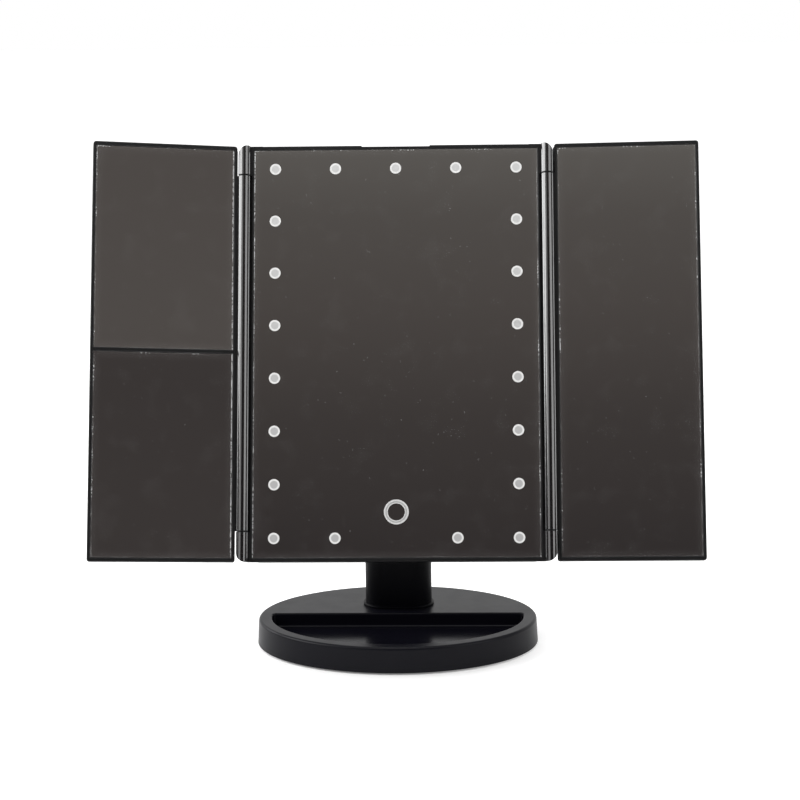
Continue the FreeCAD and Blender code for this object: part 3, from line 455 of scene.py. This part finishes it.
def moulded(name, colour, roughness, grain, depth, specular=0.5):
    """Moulded plastic: eroded grain, slow changes of tone and gloss, polished edges and a little dust."""
    material, tree, shader = new_finish(name)
    place = own_place(tree)
    rounded = soft_edges(tree, EDGE_ROUND)
    edges = edge_share(tree, rounded)
    tone = toned(tree, noise(tree, place, TONE_PATCH, detail=3), colour, darkest=0.9, palest=1.1)
    wear = calc(tree, "MULTIPLY", edges, EDGE_WEAR)
    worn = mix_colour(tree, wear, tone, shade(WORN_SHADE, colour))
    dust = remap(tree, scattered(tree, place, DUST_PITCH), *DUST_SPECK, 0.0, DUST_COVER)
    feed(tree, shader.inputs["Base Color"], mix_colour(tree, dust, worn, DUST_GREY))
    clouds = noise(tree, place, GLOSS_PATCH, detail=4, rough=0.6)
    gloss = spread(tree, clouds, roughness - 0.02, roughness + 0.025)
    polish = calc(tree, "MULTIPLY", edges, EDGE_POLISH)
    feed(tree, shader.inputs["Roughness"], calc(tree, "SUBTRACT", gloss, polish))
    shader.inputs["Specular IOR Level"].default_value = specular
    feed(tree, shader.inputs["Normal"], bump(tree, noise(tree, place, grain), depth, rounded))
    return material


def frame_finish(name):
    """Satin black frame whose hinge barrels are polished and lacquered, but for their ends."""
    material = moulded(name, SATIN_BLACK, roughness=0.36, grain=0.5 * MM, depth=0.004 * MM, specular=0.32)
    tree = material.node_tree
    shader = tree.nodes["Principled BSDF"]
    x, y, z = split(tree, panel_place(tree, HEAD))
    beside = calc(tree, "SUBTRACT", calc(tree, "ABSOLUTE", x), HINGE_X)
    round_part = remap(tree, span(tree, beside, y), BARREL_R + BARREL_EDGE, BARREL_R)
    from_ends = 1.0
    for low, high in hinge_gaps(-1, "left_wing_frame"):
        from_end = calc(tree, "ABSOLUTE", calc(tree, "SUBTRACT", z, (low + high) / 2))
        from_ends = calc(tree, "MINIMUM", from_ends, from_end)
    barrel = calc(tree, "MULTIPLY", round_part, remap(tree, from_ends, *BARREL_END))
    satin = shader.inputs["Roughness"].links[0].from_socket
    streaks = noise(tree, stretched(tree, own_place(tree), STREAK_SCALE), STREAK_W, detail=3)
    inputs = {"Factor": barrel, "A": satin, "B": spread(tree, streaks, low=0.1, high=0.2)}
    polished = add_node(tree, "Mix", inputs, data_type="FLOAT").outputs[0]
    feed(tree, shader.inputs["Roughness"], polished)
    feed(tree, shader.inputs["Coat Weight"], barrel)
    shader.inputs["Coat Roughness"].default_value = LACQUER_ROUGHNESS
    shader.inputs["Coat IOR"].default_value = LACQUER_IOR
    return material


def base_finish(name):
    """Satin black base whose tray is smoother."""
    material = moulded(name, BASE_BLACK, roughness=0.33, grain=0.4 * MM, depth=0.006 * MM, specular=0.15)
    tree = material.node_tree
    shader = tree.nodes["Principled BSDF"]
    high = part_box("base_shell")[1]
    x, y, z = split(tree, own_place(tree))
    out = span(tree, calc(tree, "DIVIDE", x, high.x), calc(tree, "DIVIDE", y, high.y))
    sunk = remap(tree, z, high.z - TRAY_EDGE, high.z - 3 * TRAY_EDGE)
    tray = calc(tree, "MULTIPLY", sunk, remap(tree, out, *TRAY_REACH))
    satin = shader.inputs["Roughness"].links[0].from_socket
    polish = calc(tree, "MULTIPLY", tray, TRAY_POLISH)
    feed(tree, shader.inputs["Roughness"], calc(tree, "SUBTRACT", satin, polish))
    return material


def glass_smears(tree, place):
    """Faint smudges, and marks of wiping up the pane."""
    smudged = remap(tree, noise(tree, place, SMUDGE_PATCH, detail=3), *SMUDGE_RANGE, 0.0, SMUDGE_COVER)
    marks = scattered(tree, stretched(tree, place, WIPE_SCALE), WIPE_PITCH)
    wiped = remap(tree, marks, *WIPE_SPECK, 0.0, WIPE_COVER)
    return calc(tree, "MAXIMUM", smudged, wiped)


def mirror_finish(name, axes, silver, left_painted_highlight, right_painted_highlight, dusty):
    """Silvered glass with a chipped ground rim, made stronger on its left and right sides as painted
    highlight, a faint lighter band inside the rim as painted reflection, smears and dust.
    """
    low, high = panel_box(panel_points(name, axes))
    material, tree, shader = new_finish(name)
    place = panel_place(tree, axes)
    x, _, z = split(tree, place)
    left = calc(tree, "SUBTRACT", x, low.x)
    right = calc(tree, "SUBTRACT", high.x, x)
    bottom = calc(tree, "SUBTRACT", z, low.z)
    top = calc(tree, "SUBTRACT", high.z, z)
    beside = calc(tree, "MINIMUM", left, right)
    inside = calc(tree, "MINIMUM", beside, calc(tree, "MINIMUM", bottom, top))
    patches = noise(tree, place, RIM_PATCH)
    flakes = noise(tree, place, RIM_FLAKE, rough=0.6)
    line = 0.0
    # The ground rim runs all round. Its stronger left and right lines are painted highlights, where a
    # bevelled edge would catch the side lamps.
    for away, strength in ((inside, RIM_LINE), (left, left_painted_highlight), (right, right_painted_highlight)):
        rim = remap(tree, away, GROUND_EDGE, GROUND_CORE)
        ground = calc(tree, "MULTIPLY", rim, remap(tree, patches, *PATCH_RANGE, *strength))
        line = calc(tree, "MAXIMUM", line, ground)
    line = calc(tree, "MULTIPLY", line, remap(tree, flakes, *FLAKE_RANGE, FLAKE_LEAST, 1.0))
    chipped = remap(tree, calc(tree, "ADD", patches, flakes), *CHIP_RANGE)
    from_chips = calc(tree, "MINIMUM", beside, top)
    chips = remap(tree, from_chips, CHIP_REACH, 0.5 * CHIP_REACH, 0.0, CHIP_COVER)
    chip = calc(tree, "MULTIPLY", chips, chipped)
    dust = remap(tree, scattered(tree, place, GLASS_DUST_PITCH), *GLASS_DUST_SPECK, 0.0, dusty)
    spots = calc(tree, "MAXIMUM", calc(tree, "MAXIMUM", line, chip), dust)
    # Faint lighter band inside the rim: painted reflection. The smears added to it are real marks.
    painted_rim_sheen = remap(tree, inside, RIM_SHEEN_REACH, 0.0, 0.0, RIM_SHEEN_COVER)
    film = calc(tree, "ADD", painted_rim_sheen, glass_smears(tree, place))
    cover = calc(tree, "MINIMUM", calc(tree, "ADD", spots, film), 1.0)
    feed(tree, shader.inputs["Base Color"], mix_colour(tree, spots, silver, CHIPPED_GLASS))
    feed(tree, shader.inputs["Metallic"], calc(tree, "SUBTRACT", 1.0, cover))
    feed(tree, shader.inputs["Roughness"], remap(tree, spots, 0.0, MARKED, to_low=0.012, to_high=0.5))
    return material


def etched(name, middle_share, pale, grey):
    """Etched glass, pale to grey; middle_share gives how far a point is from its pale rim, 0 to 1."""
    material, tree, shader = new_finish(name)
    frost = noise(tree, own_place(tree), FROST_GRAIN, detail=3, rough=0.7)
    tone = mix_colour(tree, middle_share(tree), pale, grey)
    pits = remap(tree, frost, *FROST_RANGE, 0.0, FROST_COVER)
    feed(tree, shader.inputs["Base Color"], mix_colour(tree, pits, tone, shade(0.6, pale)))
    feed(tree, shader.inputs["Roughness"], spread(tree, frost, low=0.3, high=0.45))
    feed(tree, shader.inputs["Normal"], bump(tree, frost, depth=0.01 * MM))
    return material


def window_middle(tree):
    """Grey middle of each light, on the grid of lights: 0 on its pale rim, towards 1 in its middle; less
    grey towards the top, as painted light from above.
    """
    low, high = panel_box(panel_points("led_windows", HEAD))
    light_low, light_high = panel_islands("led_windows", HEAD, ISLAND_REACH)[0]
    radius = (light_high.x - light_low.x) / 2
    x, _, z = split(tree, panel_place(tree, HEAD))
    offsets = []
    for value, first, last, count in ((x, low.x, high.x, LIGHTS_ACROSS), (z, low.z, high.z, LIGHTS_UP)):
        step = (last - first - 2 * radius) / (count - 1)
        count_from_first = calc(tree, "DIVIDE", calc(tree, "SUBTRACT", value, first + radius), step)
        offset = calc(tree, "SUBTRACT", count_from_first, calc(tree, "ROUND", count_from_first))
        offsets.append(calc(tree, "MULTIPLY", offset, step))
    middle = remap(tree, span(tree, *offsets), *(share * radius for share in LIGHT_RIM))
    # Less grey towards the top: painted light, as if the top lamp lit the upper lights more.
    painted_top_light = remap(tree, z, low.z, high.z, 1.0, TOP_GREY_PAINTED_LIGHT)
    return calc(tree, "MULTIPLY", middle, painted_top_light)


def ring_middle(tree):
    """The thin grey line round the middle of the touch ring's band."""
    low, high = panel_box(panel_points("touch_ring", HEAD))
    middle = (low + high) / 2
    x, _, z = split(tree, panel_place(tree, HEAD))
    away = span(tree, calc(tree, "SUBTRACT", x, middle.x), calc(tree, "SUBTRACT", z, middle.z))
    line_r = RING_LINE * (high.x - low.x) / 2
    from_line = calc(tree, "ABSOLUTE", calc(tree, "SUBTRACT", away, line_r))
    return remap(tree, from_line, *RING_LINE_HALF)


def metal(name, colour, roughness, brush):
    """Plated metal with fine drawn lines along brush and cloudy tarnish."""
    material, tree, shader = new_finish(name)
    place = own_place(tree)
    lines = noise(tree, stretched(tree, place, brush), size=0.3 * MM, detail=3, rough=0.6)
    clouds = noise(tree, place, size=5 * MM, detail=4, rough=0.6)
    tone = toned(tree, clouds, colour, darkest=0.8, palest=1.1)
    scored = remap(tree, lines, low=0.6, high=0.8, to_high=0.3)
    feed(tree, shader.inputs["Base Color"], mix_colour(tree, scored, tone, shade(0.5, colour)))
    shader.inputs["Metallic"].default_value = 1.0
    feed(tree, shader.inputs["Roughness"], spread(tree, clouds, roughness - 0.06, roughness + 0.1))
    rounded = soft_edges(tree, radius=0.1 * MM)
    feed(tree, shader.inputs["Normal"], bump(tree, lines, depth=0.004 * MM, normal=rounded))
    return material


def circuit_board(name):
    """Green solder mask over raised copper traces."""
    material, tree, shader = new_finish(name)
    place = panel_place(tree, HEAD)
    inputs = {"Vector": place, "Scale": 260.0, "Distortion": 1.5, "Detail": 1.0, "Detail Scale": 0.4}
    waves = add_node(tree, "TexWave", inputs).outputs["Fac"]
    traces = remap(tree, waves, low=0.55, high=0.65)
    feed(tree, shader.inputs["Base Color"], mix_colour(tree, traces, BOARD_GREEN, TRACE_GREEN))
    feed(tree, shader.inputs["Roughness"], spread(tree, noise(tree, place, 4 * MM), low=0.25, high=0.4))
    feed(tree, shader.inputs["Normal"], bump(tree, traces, depth=0.03 * MM))
    return material


def led_package(name):
    """White ceramic package round a yellow phosphor face."""
    material, tree, shader = new_finish(name)
    patches = noise(tree, panel_place(tree, HEAD), size=1.5 * MM)
    glow = remap(tree, patches, low=0.4, high=0.55)
    feed(tree, shader.inputs["Base Color"], mix_colour(tree, glow, CHIP_WHITE, PHOSPHOR))
    feed(tree, shader.inputs["Roughness"], remap(tree, glow, 0.0, 1.0, to_low=0.45, to_high=0.25))
    return material


def foam(name, colour, bubble):
    """Closed-cell foam: small bubbles and a matt, slightly uneven tone."""
    material, tree, shader = new_finish(name)
    bubbles = scattered(tree, own_place(tree), bubble)
    feed(tree, shader.inputs["Base Color"], toned(tree, bubbles, colour, darkest=0.6, palest=1.4))
    feed(tree, shader.inputs["Roughness"], remap(tree, bubbles, 0.0, 0.8, to_low=0.95, to_high=0.75))
    feed(tree, shader.inputs["Normal"], bump(tree, bubbles, depth=0.06 * MM))
    return material


def cell_sleeve(name):
    """Unprinted battery sleeve: glossy film, slightly cloudy."""
    material, tree, shader = new_finish(name)
    place = own_place(tree)
    clouds = noise(tree, place, size=8 * MM, detail=3)
    feed(tree, shader.inputs["Base Color"], toned(tree, clouds, SLEEVE, darkest=0.7, palest=1.4))
    feed(tree, shader.inputs["Roughness"], spread(tree, clouds, low=0.18, high=0.32))
    shader.inputs["Coat Weight"].default_value = 0.4
    wrinkles = noise(tree, place, size=1.2 * MM)
    feed(tree, shader.inputs["Normal"], bump(tree, wrinkles, depth=0.006 * MM))
    return material


# Small pieces

def new_piece(name, form, materials, body, slot, *nodes):
    """A finished mesh that moves with a body and stands for CAD nodes."""
    bmesh.ops.recalc_face_normals(form, faces=form.faces)
    mesh = bpy.data.meshes.new(name)
    form.to_mesh(mesh)
    form.free()
    piece = bpy.data.objects.new(name, mesh)
    bpy.context.collection.objects.link(piece)
    for material in materials:
        mesh.materials.append(material)
    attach(piece, body)
    if nodes:
        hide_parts(*nodes)
    return piece


def head_place(point, axis, turn=0.0):
    """Matrix that stands a form, drawn along +Z, on a point and along an axis of the head."""
    placed = Matrix.Translation(point) @ axis.to_track_quat("Z", "Y").to_matrix().to_4x4()
    return HEAD.inverted() @ placed @ Matrix.Rotation(math.radians(turn), 4, "Z")


def add_loop(form, place, points):
    """New vertices on placed points."""
    return [form.verts.new(place @ Vector(point)) for point in points]


def bridge(form, lower, upper, tint=0, smooth=True):
    """Faces between two loops of as many vertices."""
    for i, vertex in enumerate(lower):
        after = (i + 1) % len(lower)
        face = form.faces.new((vertex, lower[after], upper[after], upper[i]))
        face.material_index = tint
        face.smooth = smooth


def closed_stack(form, loops, smooth=True):
    """Faces between loops in a row, closed at both ends."""
    form.faces.new(loops[0])
    for lower, upper in zip(loops, loops[1:]):
        bridge(form, lower, upper, smooth=smooth)
    form.faces.new(loops[-1])


def oval_points(half_w, half_d, height, steps):
    """Points round an oval at one height."""
    turns = [2 * math.pi * i / steps for i in range(steps)]
    return [(half_w * math.cos(turn), half_d * math.sin(turn), height) for turn in turns]


def turned_form(form, place, profile, steps=ROUND_STEPS):
    """Lathe work, closed at its start: profile lists radius, height and tint. Gives the last loop."""
    loop = []
    for radius, height, tint in profile:
        above = add_loop(form, place, oval_points(radius, radius, height, steps))
        if loop:
            bridge(form, loop, above, tint)
        else:
            form.faces.new(above).material_index = tint
        loop = above
    return loop


def cross_recess(form, place, rim, arm, half, top, depth):
    """Flat top inside a rim, with a tapered cross sunk into it."""
    corners = []
    for quarter in range(4):
        spin = Matrix.Rotation(math.radians(90 * quarter), 2)
        corners += [spin @ Vector(corner) for corner in ((arm, -half), (arm, half), (half, half))]
    mouth = add_loop(form, place, [(*corner, top) for corner in corners])
    floor = add_loop(form, place, [(*(CROSS_TAPER * corner), top - depth) for corner in corners])
    bridge(form, mouth, floor, smooth=False)
    form.faces.new(floor)
    edges = [form.edges.get((loop[i - 1], loop[i])) for loop in (rim, mouth) for i in range(len(loop))]
    bmesh.ops.triangle_fill(form, edges=edges, use_beauty=True)


def machine_screw(form, place, head_r, head_t, shank_r, shank_l, thread):
    """Pan head on its seat at height 0, with a cross recess, over a threaded shank."""
    root_r = THREAD_ROOT * shank_r
    profile = [(SHANK_TIP * shank_r, -shank_l, 0), (root_r, -shank_l + 0.5 * thread, 0)]
    for i in range(1, int(shank_l / thread)):
        height = -shank_l + thread * i
        profile += [(shank_r, height, 0), (root_r, height + 0.5 * thread, 0)]
    profile.append((shank_r, 0, 0))
    profile += [(out * head_r, up * head_t, 0) for out, up in PAN_HEAD]
    rim = turned_form(form, place, profile)
    cross_recess(form, place, rim, CROSS_ARM * head_r, CROSS_HALF * head_r, head_t, CROSS_DEPTH * head_t)


def make_cover_screws(material):
    """Screws of the rear cover, each with its cross at another angle."""
    form = bmesh.new()
    for i, (low, high) in enumerate(panel_islands("rear_cover_screws", HEAD, ISLAND_REACH)):
        middle = (low + high) / 2
        seat = Vector((middle.x, high.y - SCREW_HEAD_T, middle.z))
        place = head_place(seat, Vector((0, 1, 0)), SCREW_TURN * i)
        machine_screw(form, place, (high.x - low.x) / 2, SCREW_HEAD_T, SCREW_R, seat.y - low.y, SCREW_THREAD)
    new_piece("rear_cover_screw_set", form, [material], "mirror_head", "steel", "rear_cover_screws")


def make_tilt_bolt(material):
    """Bolt through the tilt joint, from its head on the left to its end in the nut."""
    form = bmesh.new()
    low, high = panel_box(panel_points("tilt_axle", HEAD))
    middle = (low + high) / 2
    seat = Vector((low.x + BOLT_HEAD_T, middle.y, middle.z))
    place = head_place(seat, Vector((-1, 0, 0)), SCREW_TURN)
    machine_screw(form, place, (high.z - low.z) / 2, BOLT_HEAD_T, BOLT_R, high.x - seat.x, BOLT_THREAD)
    new_piece("tilt_bolt", form, [material], "mirror_head", "steel", "tilt_axle")


def cell_lines():
    """Each cell's x in the head's axes and whether its raised end is up, then the cells' box and radius."""
    low, high = panel_box(panel_points("batteries", HEAD))
    radius = (high.y - low.y) / 2
    pitch = (high.x - low.x - 2 * radius) / (CELLS - 1)
    return [(low.x + radius + pitch * i, i % 2 == 0) for i in range(CELLS)], low, high, radius


def make_cells(sleeve, plated):
    """Cells with a film sleeve, a crimped shoulder and plated ends."""
    lines, low, high, radius = cell_lines()
    can = high.z - low.z - SPRING_L - NUB_T
    profile = [(out * radius, up, tint) for out, up, tint in CELL_FOOT]
    profile += [(out * radius, can + up, tint) for out, up, tint in CELL_SHOULDER]
    profile += [(out * NUB_R, can + up, tint) for out, up, tint in CELL_NUB]
    form = bmesh.new()
    for x, nub_up in lines:
        foot = Vector((x, low.y + radius, low.z + SPRING_L if nub_up else high.z - SPRING_L))
        place = head_place(foot, Vector((0, 0, 1 if nub_up else -1)))
        form.faces.new(turned_form(form, place, profile, CELL_STEPS)).material_index = PLATED
    new_piece("battery_cells", form, [sleeve, plated], "mirror_head", "cell_can", "batteries")


def contact_plate(form, place):
    """Square plate with cut corners and broken edges, standing on height 0."""
    half = CONTACT_W / 2
    cut = half - CONTACT_CORNER
    outline = ((half, -cut), (half, cut), (cut, half), (-cut, half),
               (-half, cut), (-half, -cut), (-cut, -half), (cut, -half))
    loops = []
    for share, height in CONTACT_SIDE:
        loops.append(add_loop(form, place, [(share * x, share * y, height * CONTACT_T) for x, y in outline]))
    closed_stack(form, loops, smooth=False)


def coil_spring(form, place):
    """Conical spring of round wire, from its wide end at height 0."""
    count = int(SPRING_TURNS * COIL_STEPS)
    loops = []
    for i in range(count + 1):
        share = i / count
        turn = 2 * math.pi * SPRING_TURNS * share
        out = Vector((math.cos(turn), math.sin(turn), 0))
        radius = SPRING_BIG_R + (SPRING_SMALL_R - SPRING_BIG_R) * share - SPRING_WIRE_R
        middle = out * radius + Vector((0, 0, SPRING_WIRE_R + (SPRING_L - 2 * SPRING_WIRE_R) * share))
        section = [middle + out * x + Vector((0, 0, y))
                   for x, y, _ in oval_points(SPRING_WIRE_R, SPRING_WIRE_R, 0, WIRE_STEPS)]
        loops.append(add_loop(form, place, section))
    closed_stack(form, loops)


def make_contacts(material):
    """A plate at both ends of each cell, with a spring where the cell's flat end is."""
    lines = cell_lines()[0]
    low, high = panel_box(panel_points("battery_contacts", HEAD))
    depth = (low.y + high.y) / 2
    form = bmesh.new()
    for x, nub_up in lines:
        for height, direction, sprung in ((low.z, 1, nub_up), (high.z, -1, not nub_up)):
            axis = Vector((0, 0, direction))
            contact_plate(form, head_place(Vector((x, depth, height)), axis))
            if sprung:
                coil_spring(form, head_place(Vector((x, depth, height + direction * CONTACT_T)), axis))
    new_piece("battery_springs", form, [material], "mirror_head", "spring_metal", "battery_contacts")


def slab(form, low, high, tint):
    """Block in the head's axes, between two corners."""
    loops = []
    for x in (low.x, high.x):
        corners = [(x, low.y, low.z), (x, high.y, low.z), (x, high.y, high.z), (x, low.y, high.z)]
        loops.append(add_loop(form, HEAD.inverted(), corners))
    bridge(form, *loops, tint, smooth=False)
    for loop in loops:
        form.faces.new(loop).material_index = tint


def make_tongue(plastic, plated):
    """Contact tongue in the power socket's mouth, with a row of pins."""
    low, high = panel_box(panel_points("usb_socket", HEAD))
    middle = (low + high) / 2
    start = Vector((low.x + SOCKET_BACK, middle.y - TONGUE_T / 2, middle.z - TONGUE_W / 2))
    end = Vector((high.x - TONGUE_SUNK, middle.y + TONGUE_T / 2, middle.z + TONGUE_W / 2))
    form = bmesh.new()
    slab(form, start, end, tint=0)
    for i in range(TONGUE_PINS):
        z = middle.z + (i - (TONGUE_PINS - 1) / 2) * PIN_PITCH
        pin_start = Vector((start.x, end.y, z - PIN_W / 2))
        pin_end = Vector((end.x - PIN_W, end.y + PIN_T, z + PIN_W / 2))
        slab(form, pin_start, pin_end, tint=1)
    new_piece("socket_tongue", form, [plastic, plated], "mirror_head", "switch_plastic")


def flat_ring(form, place, bore, radius, height):
    """Flat ring with a broken outer edge, standing on height 0."""
    edge = WASHER_EDGE * height
    profile = ((bore, 0), (radius - edge, 0), (radius, edge),
               (radius, height - edge), (radius - edge, height), (bore, height))
    loops = [add_loop(form, place, oval_points(turn_r, turn_r, z, ROUND_STEPS)) for turn_r, z in profile]
    for i, loop in enumerate(loops):
        bridge(form, loops[i - 1], loop, smooth=False)


def make_hinge_washers(material):
    """Thin washers on the hinge pins, between the knuckles and the wings' barrels."""
    form = bmesh.new()
    for side, wing in ((-1, "left_wing_frame"), (1, "right_wing_frame")):
        for low, high in hinge_gaps(side, wing):
            place = HEAD.inverted() @ Matrix.Translation((side * HINGE_X, 0, low + WASHER_PLAY))
            flat_ring(form, place, WASHER_BORE_R, WASHER_R, high - low - 2 * WASHER_PLAY)
    new_piece("hinge_washers", form, [material], "mirror_head", "switch_plastic")


def make_pad(material):
    """Oval foam pad whose cut side pulls in a little, with shallow grooves round its underside."""
    low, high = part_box("base_pad")
    middle = (low + high) / 2
    half_w, half_d = (high.x - low.x) / 2, (high.y - low.y) / 2
    steps = [(PAD_MIDDLE, 0.0)]
    for inset in reversed(PAD_GROOVES):
        steps += [(inset + out * PAD_GROOVE_HALF, up * PAD_GROOVE_DEPTH) for out, up in PAD_GROOVE]
    steps += [(inset, share * (high.z - low.z)) for inset, share in PAD_SIDE]
    place = Matrix.Translation((middle.x, middle.y, low.z))
    form = bmesh.new()
    loops = []
    for inset, height in steps:
        loops.append(add_loop(form, place, oval_points(half_w - inset, half_d - inset, height, OVAL_STEPS)))
    closed_stack(form, loops)
    pad = new_piece("base_pad_foam", form, [material], "base", "pad_foam", "base_pad")


# Dressing

def dress(material, *names):
    """Gives CAD nodes a finish."""
    for name in names:
        mesh = frame["nodes"][name].data
        mesh.materials.clear()
        mesh.materials.append(material)


def dress_plastic():
    """Frames, backs, base, column and switch."""
    dress(frame_finish("frame_plastic"), "centre_frame", "left_wing_frame", "right_wing_frame")
    grained = moulded("back_plastic", GRAINED_BLACK, roughness=0.48, grain=0.45 * MM, depth=0.02 * MM)
    dress(grained, "centre_rear_cover", "left_wing_back", "right_wing_back", "battery_door")
    dress(base_finish("base_plastic"), "base_shell", "base_bottom_plate")
    # The column's darker black is painted shade from the head above it.
    shaded_column = moulded("column_plastic", COLUMN_SHADED_BLACK, roughness=0.42, grain=0.4 * MM, depth=0.008 * MM,
                   specular=0.08)
    dress(shaded_column, "column")
    plain = moulded("switch_plastic", SATIN_BLACK, roughness=0.4, grain=0.3 * MM, depth=0.01 * MM)
    dress(plain, "power_switch_body", "power_switch_slider")


def dress_glass():
    """Mirrors, light windows and touch ring."""
    for name, looks in MIRRORS.items():
        dress(mirror_finish(name, *looks), name)
    dress(etched("etched_windows", window_middle, ETCHED_RIM, ETCHED_MIDDLE), "led_windows")
    dress(etched("etched_ring", ring_middle, RING_PALE, RING_GREY), "touch_ring")


def dress_inside():
    """Tape, boards, metal, cells and the other small pieces."""
    dress(foam("mounting_tape", TAPE_GREY, 0.5 * MM), "mirror_tape", "left_wing_tape", "right_wing_tape")
    dress(circuit_board("circuit_board"), "led_board", "touch_board", "control_board")
    dress(led_package("led_package"), "led_chips")
    zinc = metal("zinc_steel", ZINC, roughness=0.3, brush=(1, 1, 0.1))
    dress(zinc, "base_screws", "column_screws", "tilt_nut")
    blackened = metal("blackened_steel", BLACKENED, roughness=0.4, brush=(1, 1, 0.1))
    dress(blackened, "left_hinge_pins", "right_hinge_pins")
    dress(metal("ballast_steel", BALLAST, roughness=0.5, brush=(1, 1, 1)), "base_weight")
    nickel = metal("nickel_plate", NICKEL, roughness=0.25, brush=(1, 0.1, 1))
    dress(nickel, "usb_socket", "tilt_washers")
    make_cover_screws(zinc)
    make_tilt_bolt(zinc)
    make_cells(cell_sleeve("cell_sleeve"), nickel)
    make_contacts(nickel)
    nylon = moulded("black_nylon", NYLON_BLACK, roughness=0.4, grain=0.2 * MM, depth=0.004 * MM)
    make_tongue(nylon, nickel)
    make_hinge_washers(nylon)
    make_pad(foam("pad_foam", FOAM_BLACK, 0.4 * MM))


# Stage and light

def make_floor():
    """Pale floor that stays white round the object and keeps its shadow."""
    mesh = bpy.data.meshes.new("floor")
    sides = ((-1, -1), (1, -1), (1, 1), (-1, 1))
    corners = [(x * FLOOR_HALF, y * FLOOR_HALF, -FLOOR_DROP) for x, y in sides]
    mesh.from_pydata(corners, [], [(0, 1, 2, 3)])
    floor = bpy.data.objects.new("floor", mesh)
    bpy.context.collection.objects.link(floor)
    material, tree, shader = new_finish("floor_white")
    feed(tree, shader.inputs["Base Color"], FLOOR_WHITE)
    shader.inputs["Roughness"].default_value = FLOOR_ROUGHNESS
    shader.inputs["Specular IOR Level"].default_value = 0.0
    feed(tree, shader.inputs["Emission Color"], WHITE)
    rays = add_node(tree, "LightPath").outputs
    reflected = calc(tree, "MULTIPLY", rays["Is Glossy Ray"], REFLECTED_LIFT)
    seen = calc(tree, "MAXIMUM", rays["Is Camera Ray"], reflected)
    inputs = {0: own_place(tree), 1: LIFT_MIDDLE}
    away = add_node(tree, "VectorMath", inputs, operation="DISTANCE").outputs["Value"]
    lift = remap(tree, away, NEAR_REACH, FAR_REACH, NEAR_LIFT, FAR_LIFT)
    feed(tree, shader.inputs["Emission Strength"], calc(tree, "MULTIPLY", seen, lift))
    mesh.materials.append(material)


def make_world():
    """White backdrop behind the object and a dim studio in front of it."""
    world = bpy.data.worlds.new("studio")
    world.use_nodes = True
    tree = world.node_tree
    backdrop = tree.nodes["Background"]
    _, y, z = split(tree, add_node(tree, "TexCoord").outputs["Generated"])
    ramp = add_node(tree, "ValToRGB", {"Fac": z})
    stops = ramp.color_ramp.elements
    while len(stops) < len(FRONT_TONES):
        stops.new(0.5)
    for stop, (height, colour) in zip(stops, FRONT_TONES):
        stop.position = height
        stop.color = (*colour, 1.0)
    behind = remap(tree, y, *BACKDROP_EDGE)
    round_about = mix_colour(tree, behind, ramp.outputs["Color"], WHITE)
    seen = add_node(tree, "LightPath").outputs["Is Camera Ray"]
    feed(tree, backdrop.inputs["Color"], mix_colour(tree, seen, round_about, WHITE))
    bpy.context.scene.world = world


def soft_box(name, azimuth, elevation, distance, size, radiance):
    """Rectangular lamp aimed at the object."""
    lamp = bpy.data.lights.new(name, "AREA")
    lamp.shape = "RECTANGLE"
    lamp.size, lamp.size_y = size
    lamp.energy = radiance * math.pi * size[0] * size[1]
    holder = bpy.data.objects.new(name, lamp)
    bpy.context.collection.objects.link(holder)
    turn, rise = math.radians(azimuth), math.radians(elevation)
    away = Vector((math.sin(turn) * math.cos(rise), -math.cos(turn) * math.cos(rise), math.sin(rise)))
    holder.location = LAMP_AIM + away * distance
    holder.rotation_mode = "QUATERNION"
    holder.rotation_quaternion = away.to_track_quat("Z", "Y")


def make_lights():
    """Soft boxes round the object."""
    for name, values in SOFT_BOXES.items():
        soft_box(name, *values)


def make_camera():
    """Camera at the photograph's viewing angle."""
    pitch, yaw, roll = (math.radians(value) for value in (CAMERA_PITCH, CAMERA_YAW, CAMERA_ROLL))
    turn = Matrix.Rotation(yaw, 3, "Z")
    forward = turn @ Vector((0, math.cos(pitch), -math.sin(pitch)))
    level = turn @ ACROSS
    upright = level.cross(forward)
    right = math.cos(roll) * level + math.sin(roll) * upright
    up = math.cos(roll) * upright - math.sin(roll) * level
    lens = bpy.data.cameras.new("photo_camera")
    lens.lens = CAMERA_LENS
    lens.sensor_width = CAMERA_SENSOR
    camera = bpy.data.objects.new("photo_camera", lens)
    bpy.context.collection.objects.link(camera)
    camera.matrix_world = Matrix((right, up, -forward)).transposed().to_4x4()
    camera.location = CAMERA_TARGET - forward * CAMERA_DISTANCE
    bpy.context.scene.camera = camera


dress_plastic()
dress_glass()
dress_inside()
make_floor()
make_world()
make_lights()
make_camera()
bpy.context.scene.view_settings.view_transform = "Standard"
